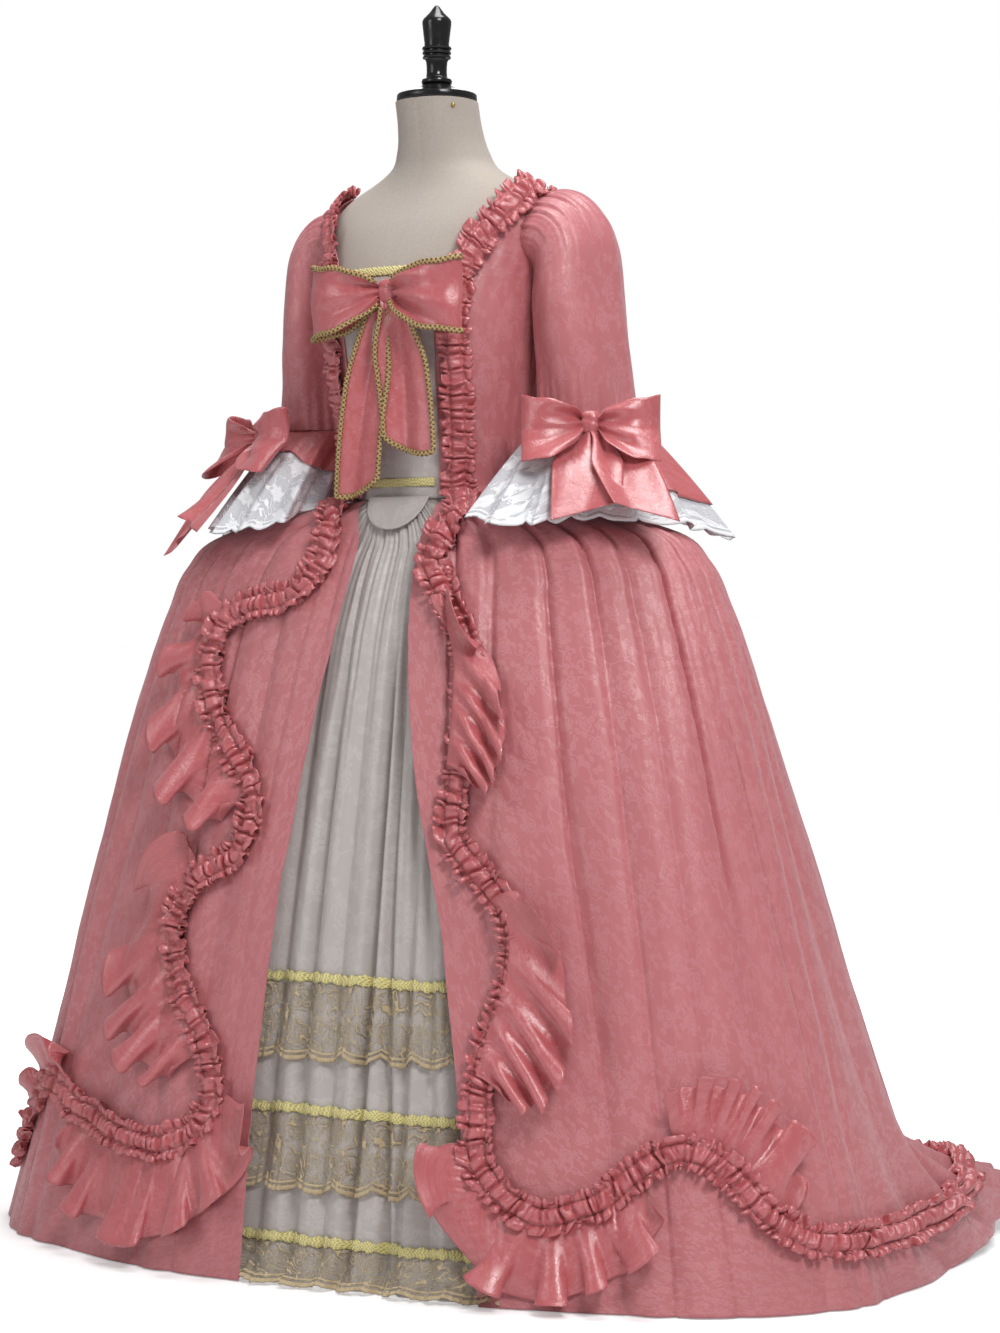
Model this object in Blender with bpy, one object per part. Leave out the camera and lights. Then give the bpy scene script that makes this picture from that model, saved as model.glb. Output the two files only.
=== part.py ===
"""Rose satin ball gown on a limbless dress form: a hooped open robe with a train, stomacher,
gathered petticoat, sleeve flounces, bows and ruched trims.

Metres, +Z up. The gown faces -Y and the wearer's left is +X. The origin is the middle of the
underside of the stand. A turn is in degrees from the front, positive towards the wearer's left.
"""

import math
from collections import namedtuple

import bmesh
import bpy
from mathutils import Vector

# Driving sizes
WAIST = 0.995
SATIN = 0.0020
TRIM_CLOTH = 0.0013
LACE = 0.0012
SEAM = 0.0003
HEM_LIFT = 0.0008
FLOOR_CLEAR = 0.0002
BODICE_OUT = 0.0052
STOMACHER_OUT = 0.0024
BAND_HALF_WIDTH = 0.019
BAND_WAVE = 0.096
TRAIN_BAND_WAVE = 0.120
BAND_RISE = 0.0110
ROBE_FOLDS = 10
ROBE_FOLD_DEPTH = 0.0060
PETTICOAT_FROM = -30.0
PETTICOAT_TO = 45.0
PETTICOAT_FOLDS = 12
PETTICOAT_FOLD_DEPTH = 0.0055
FOLD_FACETS = 3
NECK_TOP = 1.522
SLEEVE_END = 1.092
STAND_RADIUS = 0.165

Section = namedtuple("Section", "height half_width front back back_height")

# The robe's skirt over its side hoops, one row for each level of the front
SKIRT = [
    Section(0.995, 0.128, 0.106, 0.096, 0.995),
    Section(0.983, 0.185, 0.117, 0.125, 0.985),
    Section(0.968, 0.262, 0.130, 0.155, 0.972),
    Section(0.945, 0.343, 0.147, 0.190, 0.952),
    Section(0.905, 0.390, 0.168, 0.220, 0.915),
    Section(0.850, 0.416, 0.190, 0.252, 0.860),
    Section(0.730, 0.458, 0.220, 0.300, 0.735),
    Section(0.600, 0.495, 0.245, 0.350, 0.600),
    Section(0.470, 0.532, 0.268, 0.405, 0.465),
    Section(0.340, 0.568, 0.288, 0.465, 0.330),
    Section(0.210, 0.604, 0.306, 0.540, 0.200),
    Section(0.100, 0.634, 0.322, 0.660, 0.085),
    Section(0.040, 0.652, 0.332, 0.820, 0.025),
    Section(0.000, 0.664, 0.340, 1.040, 0.004),
]
FRONT_ROUNDNESS = 2.25
BACK_ROUNDNESS = 1.92

TorsoSection = namedtuple("TorsoSection", "height half_width front back middle")

# The dress form from its underside to the cut of its neck
TORSO = [
    TorsoSection(0.900, 0.150, 0.108, 0.118, 0.000),
    TorsoSection(0.950, 0.142, 0.106, 0.108, 0.000),
    TorsoSection(0.995, 0.1184, 0.0983, 0.0893, 0.000),
    TorsoSection(1.050, 0.122, 0.103, 0.092, 0.000),
    TorsoSection(1.110, 0.130, 0.114, 0.100, 0.000),
    TorsoSection(1.170, 0.138, 0.128, 0.108, 0.000),
    TorsoSection(1.220, 0.142, 0.136, 0.112, 0.000),
    TorsoSection(1.270, 0.146, 0.132, 0.114, 0.002),
    TorsoSection(1.320, 0.152, 0.118, 0.114, 0.006),
    TorsoSection(1.355, 0.158, 0.104, 0.108, 0.010),
    TorsoSection(1.382, 0.154, 0.088, 0.098, 0.013),
    TorsoSection(1.402, 0.132, 0.076, 0.086, 0.015),
    TorsoSection(1.418, 0.100, 0.068, 0.076, 0.015),
    TorsoSection(1.434, 0.074, 0.061, 0.067, 0.013),
    TorsoSection(1.458, 0.061, 0.056, 0.059, 0.008),
    TorsoSection(1.490, 0.055, 0.053, 0.054, 0.000),
    TorsoSection(NECK_TOP, 0.054, 0.052, 0.053, -0.008),
]
TORSO_ROUNDNESS = 2.25

Edge = namedtuple("Edge", "height left right")

# Where the robe's front edges stand: x at the waist, then degrees of turn below it
OPENING = [
    Edge(0.995, -24.0, 28.0),
    Edge(0.983, -16.0, 20.0),
    Edge(0.968, -10.0, 15.0),
    Edge(0.945, -5.5, 11.0),
    Edge(0.905, -4.0, 9.8),
    Edge(0.850, -4.2, 10.0),
    Edge(0.730, -5.8, 11.3),
    Edge(0.600, -7.3, 13.8),
    Edge(0.470, -8.4, 17.2),
    Edge(0.340, -8.5, 19.0),
    Edge(0.210, -8.6, 20.2),
    Edge(0.100, -8.1, 21.0),
    Edge(0.000, -7.4, 22.2),
]

Spot = namedtuple("Spot", "turn height")

# The serpentine bands of the robe's two sides, from the waist down and round to the back
SERPENT_RIGHT = [
    Spot(-30.0, 0.985), Spot(-15.5, 0.960), Spot(-11.0, 0.915), Spot(-14.0, 0.870),
    Spot(-22.0, 0.853), Spot(-29.5, 0.838), Spot(-31.3, 0.790), Spot(-28.0, 0.727),
    Spot(-21.5, 0.668), Spot(-15.0, 0.605), Spot(-16.5, 0.535), Spot(-23.5, 0.492),
    Spot(-25.8, 0.430), Spot(-22.0, 0.355), Spot(-15.8, 0.275), Spot(-15.0, 0.200),
    Spot(-21.0, 0.158), Spot(-31.0, 0.163), Spot(-42.0, 0.188), Spot(-53.0, 0.205),
    Spot(-60.0, 0.150), Spot(-68.0, 0.098), Spot(-80.0, 0.076),
]
SERPENT_LEFT = [
    Spot(32.0, 0.985), Spot(18.5, 0.955), Spot(13.8, 0.908), Spot(17.0, 0.862),
    Spot(21.3, 0.800), Spot(21.5, 0.725), Spot(20.3, 0.640), Spot(19.4, 0.565),
    Spot(23.5, 0.514), Spot(28.0, 0.462), Spot(27.6, 0.390), Spot(24.3, 0.310),
    Spot(22.6, 0.235), Spot(23.2, 0.160), Spot(29.0, 0.112), Spot(36.0, 0.126),
    Spot(42.5, 0.168), Spot(49.0, 0.190), Spot(55.0, 0.165), Spot(60.5, 0.112),
    Spot(68.0, 0.083), Spot(80.0, 0.074),
]
TRAIN_BAND = [
    Spot(81.5, 0.075), Spot(100.0, 0.070), Spot(120.0, 0.052), Spot(140.0, 0.036),
    Spot(160.0, 0.026), Spot(179.4, 0.024),
]

Flounce = namedtuple("Flounce", "name band start stop side depth drop waves sewn")

# Gathered fans sewn into the bends of the bands, placed between two of a band's spots
FLOUNCES = [
    Flounce("flounce_right_hip", "right", 5.2, 9.0, 1, 0.056, 0.030, 4, 0.0029),
    Flounce("flounce_right_knee", "right", 10.9, 13.8, 1, 0.090, 0.016, 5, 0.0027),
    Flounce("flounce_right_hem", "right", 14.6, 18.0, -1, 0.088, 0.012, 6, 0.0029),
    Flounce("flounce_right_side", "right", 18.3, 20.6, 1, 0.075, -0.010, 4, 0.0029),
    Flounce("flounce_left_hip", "left", 3.2, 7.0, -1, 0.056, 0.024, 4, 0.0029),
    Flounce("flounce_left_knee", "left", 8.8, 12.2, -1, 0.062, 0.022, 5, 0.0029),
    Flounce("flounce_left_hem", "left", 12.6, 15.8, 1, 0.066, 0.004, 6, 0.0029),
    Flounce("flounce_left_side", "left", 16.2, 19.4, -1, 0.080, -0.010, 5, 0.0032),
]

BodiceEdge = namedtuple("BodiceEdge", "neck_turn neck_height arm_turn arm_height")

# Half of the robe's front from the shoulder seam down: its neck edge and its arm or side edge
BODICE_FRONT = [
    BodiceEdge(89.8, 1.402, 89.8, 1.370),
    BodiceEdge(76.0, 1.400, 82.0, 1.360),
    BodiceEdge(64.0, 1.390, 75.0, 1.348),
    BodiceEdge(52.0, 1.368, 69.0, 1.332),
    BodiceEdge(42.0, 1.330, 67.0, 1.312),
    BodiceEdge(34.0, 1.295, 72.0, 1.290),
    BodiceEdge(29.0, 1.270, 89.7, 1.270),
    BodiceEdge(28.0, 1.220, 89.7, 1.220),
    BodiceEdge(28.0, 1.170, 89.7, 1.170),
    BodiceEdge(28.0, 1.110, 89.7, 1.110),
    BodiceEdge(28.0, 1.050, 89.7, 1.050),
    BodiceEdge(27.5, 0.9953, 89.7, 0.9953),
]
# Half of the robe's back, from the shoulder seam down, to the middle of the back
BODICE_BACK = [
    BodiceEdge(180.0, 1.378, 90.3, 1.370),
    BodiceEdge(180.0, 1.355, 104.0, 1.350),
    BodiceEdge(180.0, 1.325, 111.0, 1.325),
    BodiceEdge(180.0, 1.295, 108.0, 1.290),
    BodiceEdge(180.0, 1.270, 90.3, 1.270),
    BodiceEdge(180.0, 1.220, 90.3, 1.220),
    BodiceEdge(180.0, 1.170, 90.3, 1.170),
    BodiceEdge(180.0, 1.110, 90.3, 1.110),
    BodiceEdge(180.0, 1.050, 90.3, 1.050),
    BodiceEdge(180.0, 0.9953, 90.3, 0.9953),
]
ROBING = [
    Spot(86.5, 1.394), Spot(64.0, 1.388), Spot(50.0, 1.352), Spot(42.5, 1.312),
    Spot(38.5, 1.265), Spot(38.0, 1.200), Spot(38.5, 1.130), Spot(39.5, 1.060),
    Spot(40.0, 1.006),
]
BACK_NECK = [Spot(95.0, 1.390), Spot(118.0, 1.362), Spot(150.0, 1.352), Spot(179.6, 1.350)]

SleeveRing = namedtuple("SleeveRing", "x y z tilt radius depth")

# The wearer's left sleeve: ring middles, lean of each ring from upright, and its half sizes
SLEEVE = [
    SleeveRing(0.1643, 0.020, 1.332, 8.0, 0.050, 0.066),
    SleeveRing(0.1860, 0.022, 1.330, 28.0, 0.060, 0.074),
    SleeveRing(0.2000, 0.025, 1.302, 55.0, 0.056, 0.078),
    SleeveRing(0.1972, 0.028, 1.250, 74.0, 0.052, 0.079),
    SleeveRing(0.2020, 0.030, 1.200, 84.0, 0.052, 0.078),
    SleeveRing(0.2050, 0.033, 1.150, 86.0, 0.054, 0.076),
    SleeveRing(0.2075, 0.035, SLEEVE_END, 90.0, 0.059, 0.073),
]

Ring = namedtuple("Ring", "x y half_width half_depth")
HemSpot = namedtuple("HemSpot", "x y height")

# The flounces below the wearer's left sleeve: the ring at their seam, and the lace's hem every 45
# degrees, from the outside by way of the front
CUFF = Ring(0.2075, 0.035, 0.059, 0.073)
LACE_HEM = [
    HemSpot(0.362, 0.012, 0.951),
    HemSpot(0.290, -0.112, 0.956),
    HemSpot(0.235, -0.172, 0.948),
    HemSpot(0.148, -0.165, 0.958),
    HemSpot(0.150, -0.020, 0.997),
    HemSpot(0.165, 0.105, 0.993),
    HemSpot(0.270, 0.180, 0.962),
    HemSpot(0.378, 0.125, 0.937),
]
CUFF_WAVES = 7
CUFF_WAVE_DEPTH = 0.010
SATIN_SHARE = 0.64


def between(table, height, column):
    """A column's value at a height, straight between the rows of a table that runs downwards or up."""
    rows = sorted(table, key=lambda row: row.height)
    if height <= rows[0].height:
        return getattr(rows[0], column)
    for low, high in zip(rows, rows[1:]):
        if height <= high.height:
            share = (height - low.height) / (high.height - low.height)
            return getattr(low, column) * (1 - share) + getattr(high, column) * share
    return getattr(rows[-1], column)


def rounded(turn, half_width, front, back, front_roundness, back_roundness):
    """A point of a rounded outline, as x and y."""
    sine = math.sin(math.radians(turn))
    cosine = math.cos(math.radians(turn))
    power = front_roundness if cosine >= 0 else back_roundness
    size = (abs(sine) ** power + abs(cosine) ** power) ** (1 / power)
    depth = front if cosine >= 0 else back
    return half_width * sine / size, -depth * cosine / size


def smooth_step(value):
    value = min(max(value, 0.0), 1.0)
    return value * value * (3 - 2 * value)


def skirt(turn, height):
    """A point of the skirt's form without its folds."""
    size = [between(SKIRT, height, column) for column in ("half_width", "front", "back")]
    x, y = rounded(turn, *size, FRONT_ROUNDNESS, BACK_ROUNDNESS)
    behind = smooth_step((abs(turn) - 90) / 70)
    z = height * (1 - behind) + between(SKIRT, height, "back_height") * behind
    return Vector((x, y, z + HEM_LIFT * (1 - height / WAIST)))


def torso(turn, height):
    """A point of the dress form."""
    size = [between(TORSO, height, column) for column in ("half_width", "front", "back")]
    x, y = rounded(turn, *size, TORSO_ROUNDNESS, TORSO_ROUNDNESS)
    return Vector((x, y + between(TORSO, height, "middle"), height))


def outward(form, turn, height):
    """The way out of a form at one of its points."""
    step_turn, step_height = 0.5, 0.004
    along = form(turn + step_turn, height) - form(turn - step_turn, height)
    up = form(turn, height + step_height) - form(turn, height - step_height)
    return along.cross(up).normalized()


def moved_out(form, turn, height, distance):
    return form(turn, height) + outward(form, turn, height) * distance


# Mesh builders


def sheet(name, columns, rows, place, thickness, material, closed_round=False):
    """A wall of cloth. place(across, up) gives its outer face, with both shares from 0 to 1."""
    mesh = bmesh.new()
    bmesh.ops.create_grid(mesh, x_segments=columns, y_segments=rows, size=0.5)
    for vertex in mesh.verts:
        across = min(max(vertex.co.x + 0.5, 0.0), 1.0)
        up = min(max(vertex.co.y + 0.5, 0.0), 1.0)
        vertex.co = place(0.0 if closed_round and across > 0.9999 else across, up)
        vertex.co.z = max(vertex.co.z, thickness + FLOOR_CLEAR)
    if closed_round:
        bmesh.ops.remove_doubles(mesh, verts=mesh.verts, dist=0.00002)
    bmesh.ops.triangulate(mesh, faces=mesh.faces, quad_method="SHORT_EDGE")
    item = finished(name, mesh, material)
    wall = item.modifiers.new("Wall", "SOLIDIFY")
    wall.thickness = thickness
    wall.offset = -1.0
    wall.use_even_offset = False
    return item


def finished(name, mesh, material):
    """The scene object of a finished mesh."""
    data = bpy.data.meshes.new(name)
    mesh.to_mesh(data)
    mesh.free()
    data.materials.append(material)
    data.shade_smooth()
    item = bpy.data.objects.new(name, data)
    bpy.context.scene.collection.objects.link(item)
    return item


def turned(name, profile, middle, material, sides=12):
    """A round solid from a profile of (radius, height) that starts and ends on the axis."""
    mesh = bmesh.new()
    points = [mesh.verts.new((middle.x + radius, middle.y, middle.z + z)) for radius, z in profile]
    edges = [mesh.edges.new(pair) for pair in zip(points, points[1:])]
    bmesh.ops.spin(
        mesh, geom=points + edges, cent=middle, axis=(0, 0, 1), angle=math.tau,
        steps=sides, use_merge=True, use_duplicate=False,
    )
    bmesh.ops.remove_doubles(mesh, verts=mesh.verts, dist=0.00002)
    bmesh.ops.recalc_face_normals(mesh, faces=mesh.faces)
    item = finished(name, mesh, material)
    item.data.set_sharp_from_angle(angle=math.radians(35))
    return item


def paint(name, colour, roughness, metallic=0.0):
    material = bpy.data.materials.new(name)
    material.use_nodes = True
    shader = material.node_tree.nodes["Principled BSDF"]
    shader.inputs["Base Color"].default_value = (*colour, 1.0)
    shader.inputs["Roughness"].default_value = roughness
    shader.inputs["Metallic"].default_value = metallic
    material.diffuse_color = (*colour, 1.0)
    return material


def blend(rows, step):
    """A row between the second and the third of four rows, on a smooth curve through them all."""
    return [
        0.5 * (2 * b + (c - a) * step + (2 * a - 5 * b + 4 * c - d) * step ** 2
               + (3 * b - a - 3 * c + d) * step ** 3)
        for a, b, c, d in zip(*rows)
    ]


def curve_through(spots, share):
    """A smooth curve through the spots, at a share counted in spots from 0."""
    last = len(spots) - 1
    index = min(int(share), last - 1)
    four = [spots[min(max(index + k, 0), last)] for k in (-1, 0, 1, 2)]
    return Spot(*blend(four, share - index))


def even_stations(form, spots, spacing, start=0.0, stop=None):
    """Shares along the spots that lie evenly spaced on the form."""
    stop = len(spots) - 1 if stop is None else stop
    steps = 60 * (len(spots) - 1)
    shares = [start + (stop - start) * k / steps for k in range(steps + 1)]
    points = [form(*curve_through(spots, share)) for share in shares]
    lengths = [0.0]
    for a, b in zip(points, points[1:]):
        lengths.append(lengths[-1] + (b - a).length)
    count = max(int(round(lengths[-1] / spacing)), 2)
    stations, at = [], 0
    for k in range(count + 1):
        wanted = lengths[-1] * k / count
        while at < len(lengths) - 2 and lengths[at + 1] < wanted:
            at += 1
        share = (wanted - lengths[at]) / max(lengths[at + 1] - lengths[at], 1e-9)
        stations.append(shares[at] + (shares[at + 1] - shares[at]) * min(share, 1.0))
    return stations


def beside(form, spots, share, distance):
    """The spot that lies to the right of the curve by a distance, seen from outside."""
    here = curve_through(spots, share)
    ahead = curve_through(spots, min(share + 0.02, len(spots) - 1))
    back = curve_through(spots, max(share - 0.02, 0))
    along = (form(*ahead) - form(*back)).normalized()
    out = outward(form, *here)
    side = along.cross(out).normalized() * distance
    per_degree = (form(here.turn + 0.5, here.height) - form(here.turn - 0.5, here.height))
    per_metre = (form(here.turn, here.height + 0.004) - form(here.turn, here.height - 0.004)) / 0.008
    a, b, c = per_degree.dot(per_degree), per_degree.dot(per_metre), per_metre.dot(per_metre)
    u, v = per_degree.dot(side), per_metre.dot(side)
    size = a * c - b * b
    return Spot(here.turn + (u * c - v * b) / size, here.height + (v * a - u * b) / size)


def ruched_band(name, form, spots, carried, sewn, material, half_width=BAND_HALF_WIDTH, wave_length=BAND_WAVE):
    """A gathered band sewn down along its middle, whose two edges stand up in waves.

    carried(turn, height, out) gives a point above the cloth that carries the band, and sewn is
    how far above that cloth's facets the band's outer face lies along its seam.
    """
    stations = even_stations(form, spots, wave_length / 4)
    last = len(stations) - 1

    def place(across, up):
        k = int(round((1 - up) * last))
        lane = round(across * 2) - 1
        wave = (0.5, 1.0, 0.5, 0.0)[(k + (1 if lane > 0 else 3)) % 4]
        spot = beside(form, spots, stations[k], lane * half_width)
        out = sewn if lane == 0 else sewn + BAND_RISE * wave
        return carried(spot.turn, spot.height, out)

    return sheet(name, 2, last, place, TRIM_CLOTH, material)


# The robe's skirt


def opening(height, left_side):
    return between(OPENING, height, "right" if left_side else "left")


def robe_share(turn, height):
    """How far round its side a spot of the robe lies, from its front edge to the middle of the back."""
    left_side = turn > 0
    edge = abs(opening(height, left_side)) if left_side else -opening(height, False)
    return (abs(turn) - edge) / (180 - edge)


def fold_depth(height):
    return ROBE_FOLD_DEPTH * smooth_step((WAIST - height) / 0.12)


def robe_spot(share, height, left_side):
    edge = abs(opening(height, left_side))
    turn = edge + (179.85 - edge) * share
    return turn if left_side else -turn


def robe_folded(share, height, left_side):
    """The robe's outer face, with the folds that fall from its pleats."""
    turn = robe_spot(share, height, left_side)
    plain_front = smooth_step((share - 0.02) / 0.08)
    wave = 0.5 - 0.5 * math.cos(math.tau * ROBE_FOLDS * share)
    depth = fold_depth(height) * plain_front * (2 * wave - 1)
    lying = 1 - 0.8 * smooth_step((share - 0.55) / 0.3) * smooth_step((0.08 - height) / 0.06)
    return moved_out(skirt, turn, height, depth * lying)


ROBE_ROWS = [0.994, 0.983, 0.968, 0.945, 0.905, 0.850, 0.700, 0.500, 0.300, 0.120, 0.035, 0.000]
ROBE_COLUMNS = FOLD_FACETS * ROBE_FOLDS


def robe_grid(left_side):
    """The corners of the robe side's outer facets, a list for each row from the hem up."""
    heights = sorted(ROBE_ROWS)
    shares = [k / ROBE_COLUMNS for k in range(ROBE_COLUMNS + 1)]
    return heights, [[robe_folded(share, height, left_side) for share in shares] for height in heights]


def robe_side(name, left_side, grid, material):
    heights, rows = grid

    def place(across, up):
        column = int(round(across * ROBE_COLUMNS))
        row = int(round(up * (len(heights) - 1)))
        return rows[row][column if left_side else ROBE_COLUMNS - column]

    return sheet(name, ROBE_COLUMNS, len(heights) - 1, place, SATIN, material)


def on_robe(grids):
    """A function for points above the robe's facets, as ruched_band wants it."""

    def carried(turn, height, out):
        height = min(max(height, 0.0), max(ROBE_ROWS))
        left_side = turn > 0
        heights, rows = grids[left_side]
        column = min(max(robe_share(turn, height), 0.0), 0.9999) * ROBE_COLUMNS
        c = int(column)
        r = max(k for k in range(len(heights) - 1) if heights[k] <= height + 1e-9)
        s = column - c
        t = (height - heights[r]) / (heights[r + 1] - heights[r])
        low = rows[r][c].lerp(rows[r][c + 1], s)
        high = rows[r + 1][c].lerp(rows[r + 1][c + 1], s)
        return low.lerp(high, t) + outward(skirt, turn, height) * out

    return carried


def fan(spec, spots, carried, material):
    """A gathered flounce that spreads from the edge of a band."""
    count = 3 * spec.waves
    inner = BAND_HALF_WIDTH + 0.004

    def place(across, up):
        k = int(round((across if spec.side > 0 else 1 - across) * count))
        share = spec.start + (spec.stop - spec.start) * k / count
        row = round((1 - up) * 2)
        bulge = math.sin(math.pi * k / count) ** 0.45
        reach = inner + spec.depth * (0.25 + 0.75 * bulge) * row / 2
        spot = beside(skirt, spots, share, spec.side * reach)
        wave = (0.0, 1.0, 0.35)[k % 3]
        out = (spec.sewn, 0.006 + 0.010 * wave, 0.006 + 0.024 * wave)[row]
        height = max(spot.height - spec.drop * bulge * row / 2, 0.012)
        return carried(spot.turn, height, out)

    return sheet(spec.name, count, 2, place, TRIM_CLOTH, material)


# The petticoat


def tuck(height):
    """How far inside the robe the petticoat hangs."""
    return 0.0032 + 0.0218 * smooth_step((WAIST - height) / 0.06)


def turn_at(x, height):
    """The turn at which the front of the skirt's form stands at x."""
    low, high = -89.0, 89.0
    for _ in range(30):
        middle = (low + high) / 2
        if skirt(middle, height).x < x:
            low = middle
        else:
            high = middle
    return (low + high) / 2


def petticoat(turn, height):
    """The petticoat's outer face, round the whole hoop."""
    inside = moved_out(skirt, turn, height, -tuck(height))
    behind = smooth_step((abs(turn) - 80) / 60)
    hem = between(SKIRT, 0.34, "back") + 0.12 * (0.34 - height) / 0.34
    if height < 0.34 and inside.y > 0:
        inside.y *= 1 - behind * (1 - hem / between(SKIRT, height, "back"))
        inside.z = inside.z * (1 - behind) + (height * 0.985 + 0.006) * behind
    return inside


def petticoat_front(share, height):
    turn = PETTICOAT_FROM + (PETTICOAT_TO - PETTICOAT_FROM) * share
    ends = smooth_step(share / 0.06) * smooth_step((1 - share) / 0.06)
    middle = smooth_step((WAIST - height) / 0.05)
    wave = math.cos(math.tau * PETTICOAT_FOLDS * share)
    depth = PETTICOAT_FOLD_DEPTH * ends * middle * wave
    return petticoat(turn, height) + outward(skirt, turn, height) * depth


PETTICOAT_ROWS = [0.000, 0.220, 0.540, 0.850, 0.905, 0.945, 0.968, 0.983, 0.994]
PETTICOAT_COLUMNS = FOLD_FACETS * PETTICOAT_FOLDS


def band_on_petticoat(name, top, bottom, rows, out, thickness, material, scallop=0.0, first=8, last=28):
    """A braid or a lace tier on the petticoat's facets, with rows down it."""
    columns = last - first

    def place(across, up):
        column = first + int(round(across * columns))
        share = column / PETTICOAT_COLUMNS
        tip = scallop * (column % 2) * (1 - up)
        height = bottom + tip + (top - bottom - tip) * up
        low = max(h for h in PETTICOAT_ROWS if h <= height + 1e-9)
        high = min(h for h in PETTICOAT_ROWS if h > low)
        step = (height - low) / (high - low)
        point = petticoat_front(share, low).lerp(petticoat_front(share, high), step)
        turn = PETTICOAT_FROM + (PETTICOAT_TO - PETTICOAT_FROM) * share
        return point + outward(skirt, turn, height) * (out)

    return sheet(name, columns, rows, place, thickness, material)


# The bodice


def patch(edges, share, down):
    """A spot between the two edges of a bodice piece, and how far down it lies."""
    at = down * (len(edges) - 1)
    k = min(int(at), len(edges) - 2)
    step = at - k
    a, b = edges[k], edges[k + 1]
    neck = (a.neck_turn * (1 - step) + b.neck_turn * step, a.neck_height * (1 - step) + b.neck_height * step)
    arm = (a.arm_turn * (1 - step) + b.arm_turn * step, a.arm_height * (1 - step) + b.arm_height * step)
    return Spot(neck[0] + (arm[0] - neck[0]) * share, neck[1] + (arm[1] - neck[1]) * share)


def bodice_front(name, side, material):
    def place(across, up):
        spot = patch(BODICE_FRONT, across if side > 0 else 1 - across, 1 - up)
        return moved_out(torso, side * spot.turn, spot.height, BODICE_OUT)

    return sheet(name, 8, len(BODICE_FRONT) - 1, place, SATIN, material)


def bodice_back(name, material):
    def place(across, up):
        lean = abs(2 * across - 1)
        spot = patch(BODICE_BACK, lean, 1 - up)
        turn = spot.turn if across < 0.5 else 360 - spot.turn
        return moved_out(torso, turn, spot.height, BODICE_OUT)

    return sheet(name, 10, len(BODICE_BACK) - 1, place, SATIN, material)


def on_bodice(turn, height, out):
    return moved_out(torso, turn, height, BODICE_OUT + out)


def mirrored(spots):
    return [Spot(-spot.turn, spot.height) for spot in spots]


def sleeve(name, side, material):
    """A sleeve without an arm in it: open rings from the armhole to the elbow."""

    def place(across, up):
        ring = SLEEVE[int(round((1 - up) * (len(SLEEVE) - 1)))]
        angle = math.tau * across
        lean = math.radians(ring.tilt)
        reach = ring.radius * math.cos(angle)
        x = ring.x + reach * math.sin(lean)
        z = ring.z + reach * math.cos(lean)
        return Vector((side * x, ring.y - side * ring.depth * math.sin(angle), z))

    return sheet(name, 14, len(SLEEVE) - 1, place, SATIN, material, closed_round=True)


def flare(angle, drop, inset):
    """A point of the flounces below the left sleeve, from their seam (drop 0) to the lace's hem (drop 1).

    Angle 0 is outside and 90 degrees is the front.
    """
    cosine, sine = math.cos(angle), math.sin(angle)
    x, y = CUFF.x + CUFF.half_width * cosine, CUFF.y - CUFF.half_depth * sine
    station = angle / math.tau * len(LACE_HEM)
    index = int(station)
    hem = HemSpot(*blend([LACE_HEM[(index + k) % len(LACE_HEM)] for k in (-1, 0, 1, 2)], station - index))
    spread = drop ** 0.85
    push = CUFF_WAVE_DEPTH * drop * math.cos(angle * CUFF_WAVES) - inset
    return Vector((
        x + (hem.x - x) * spread + cosine * push,
        y + (hem.y - y) * spread - sine * push,
        SLEEVE_END - SEAM + (hem.height - SLEEVE_END) * drop,
    ))


def cuff_flounce(name, side, first_drop, last_drop, inset, thickness, material):
    """A gathered flounce below the elbow that spreads over the hip of the skirt."""

    def place(across, up):
        angle = math.tau * (across if side < 0 else 1 - across)
        point = flare(angle, last_drop + (first_drop - last_drop) * up, inset)
        return Vector((side * point.x, point.y, point.z))

    return sheet(name, 4 * CUFF_WAVES, 2, place, thickness, material, closed_round=True)


# Bows


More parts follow.
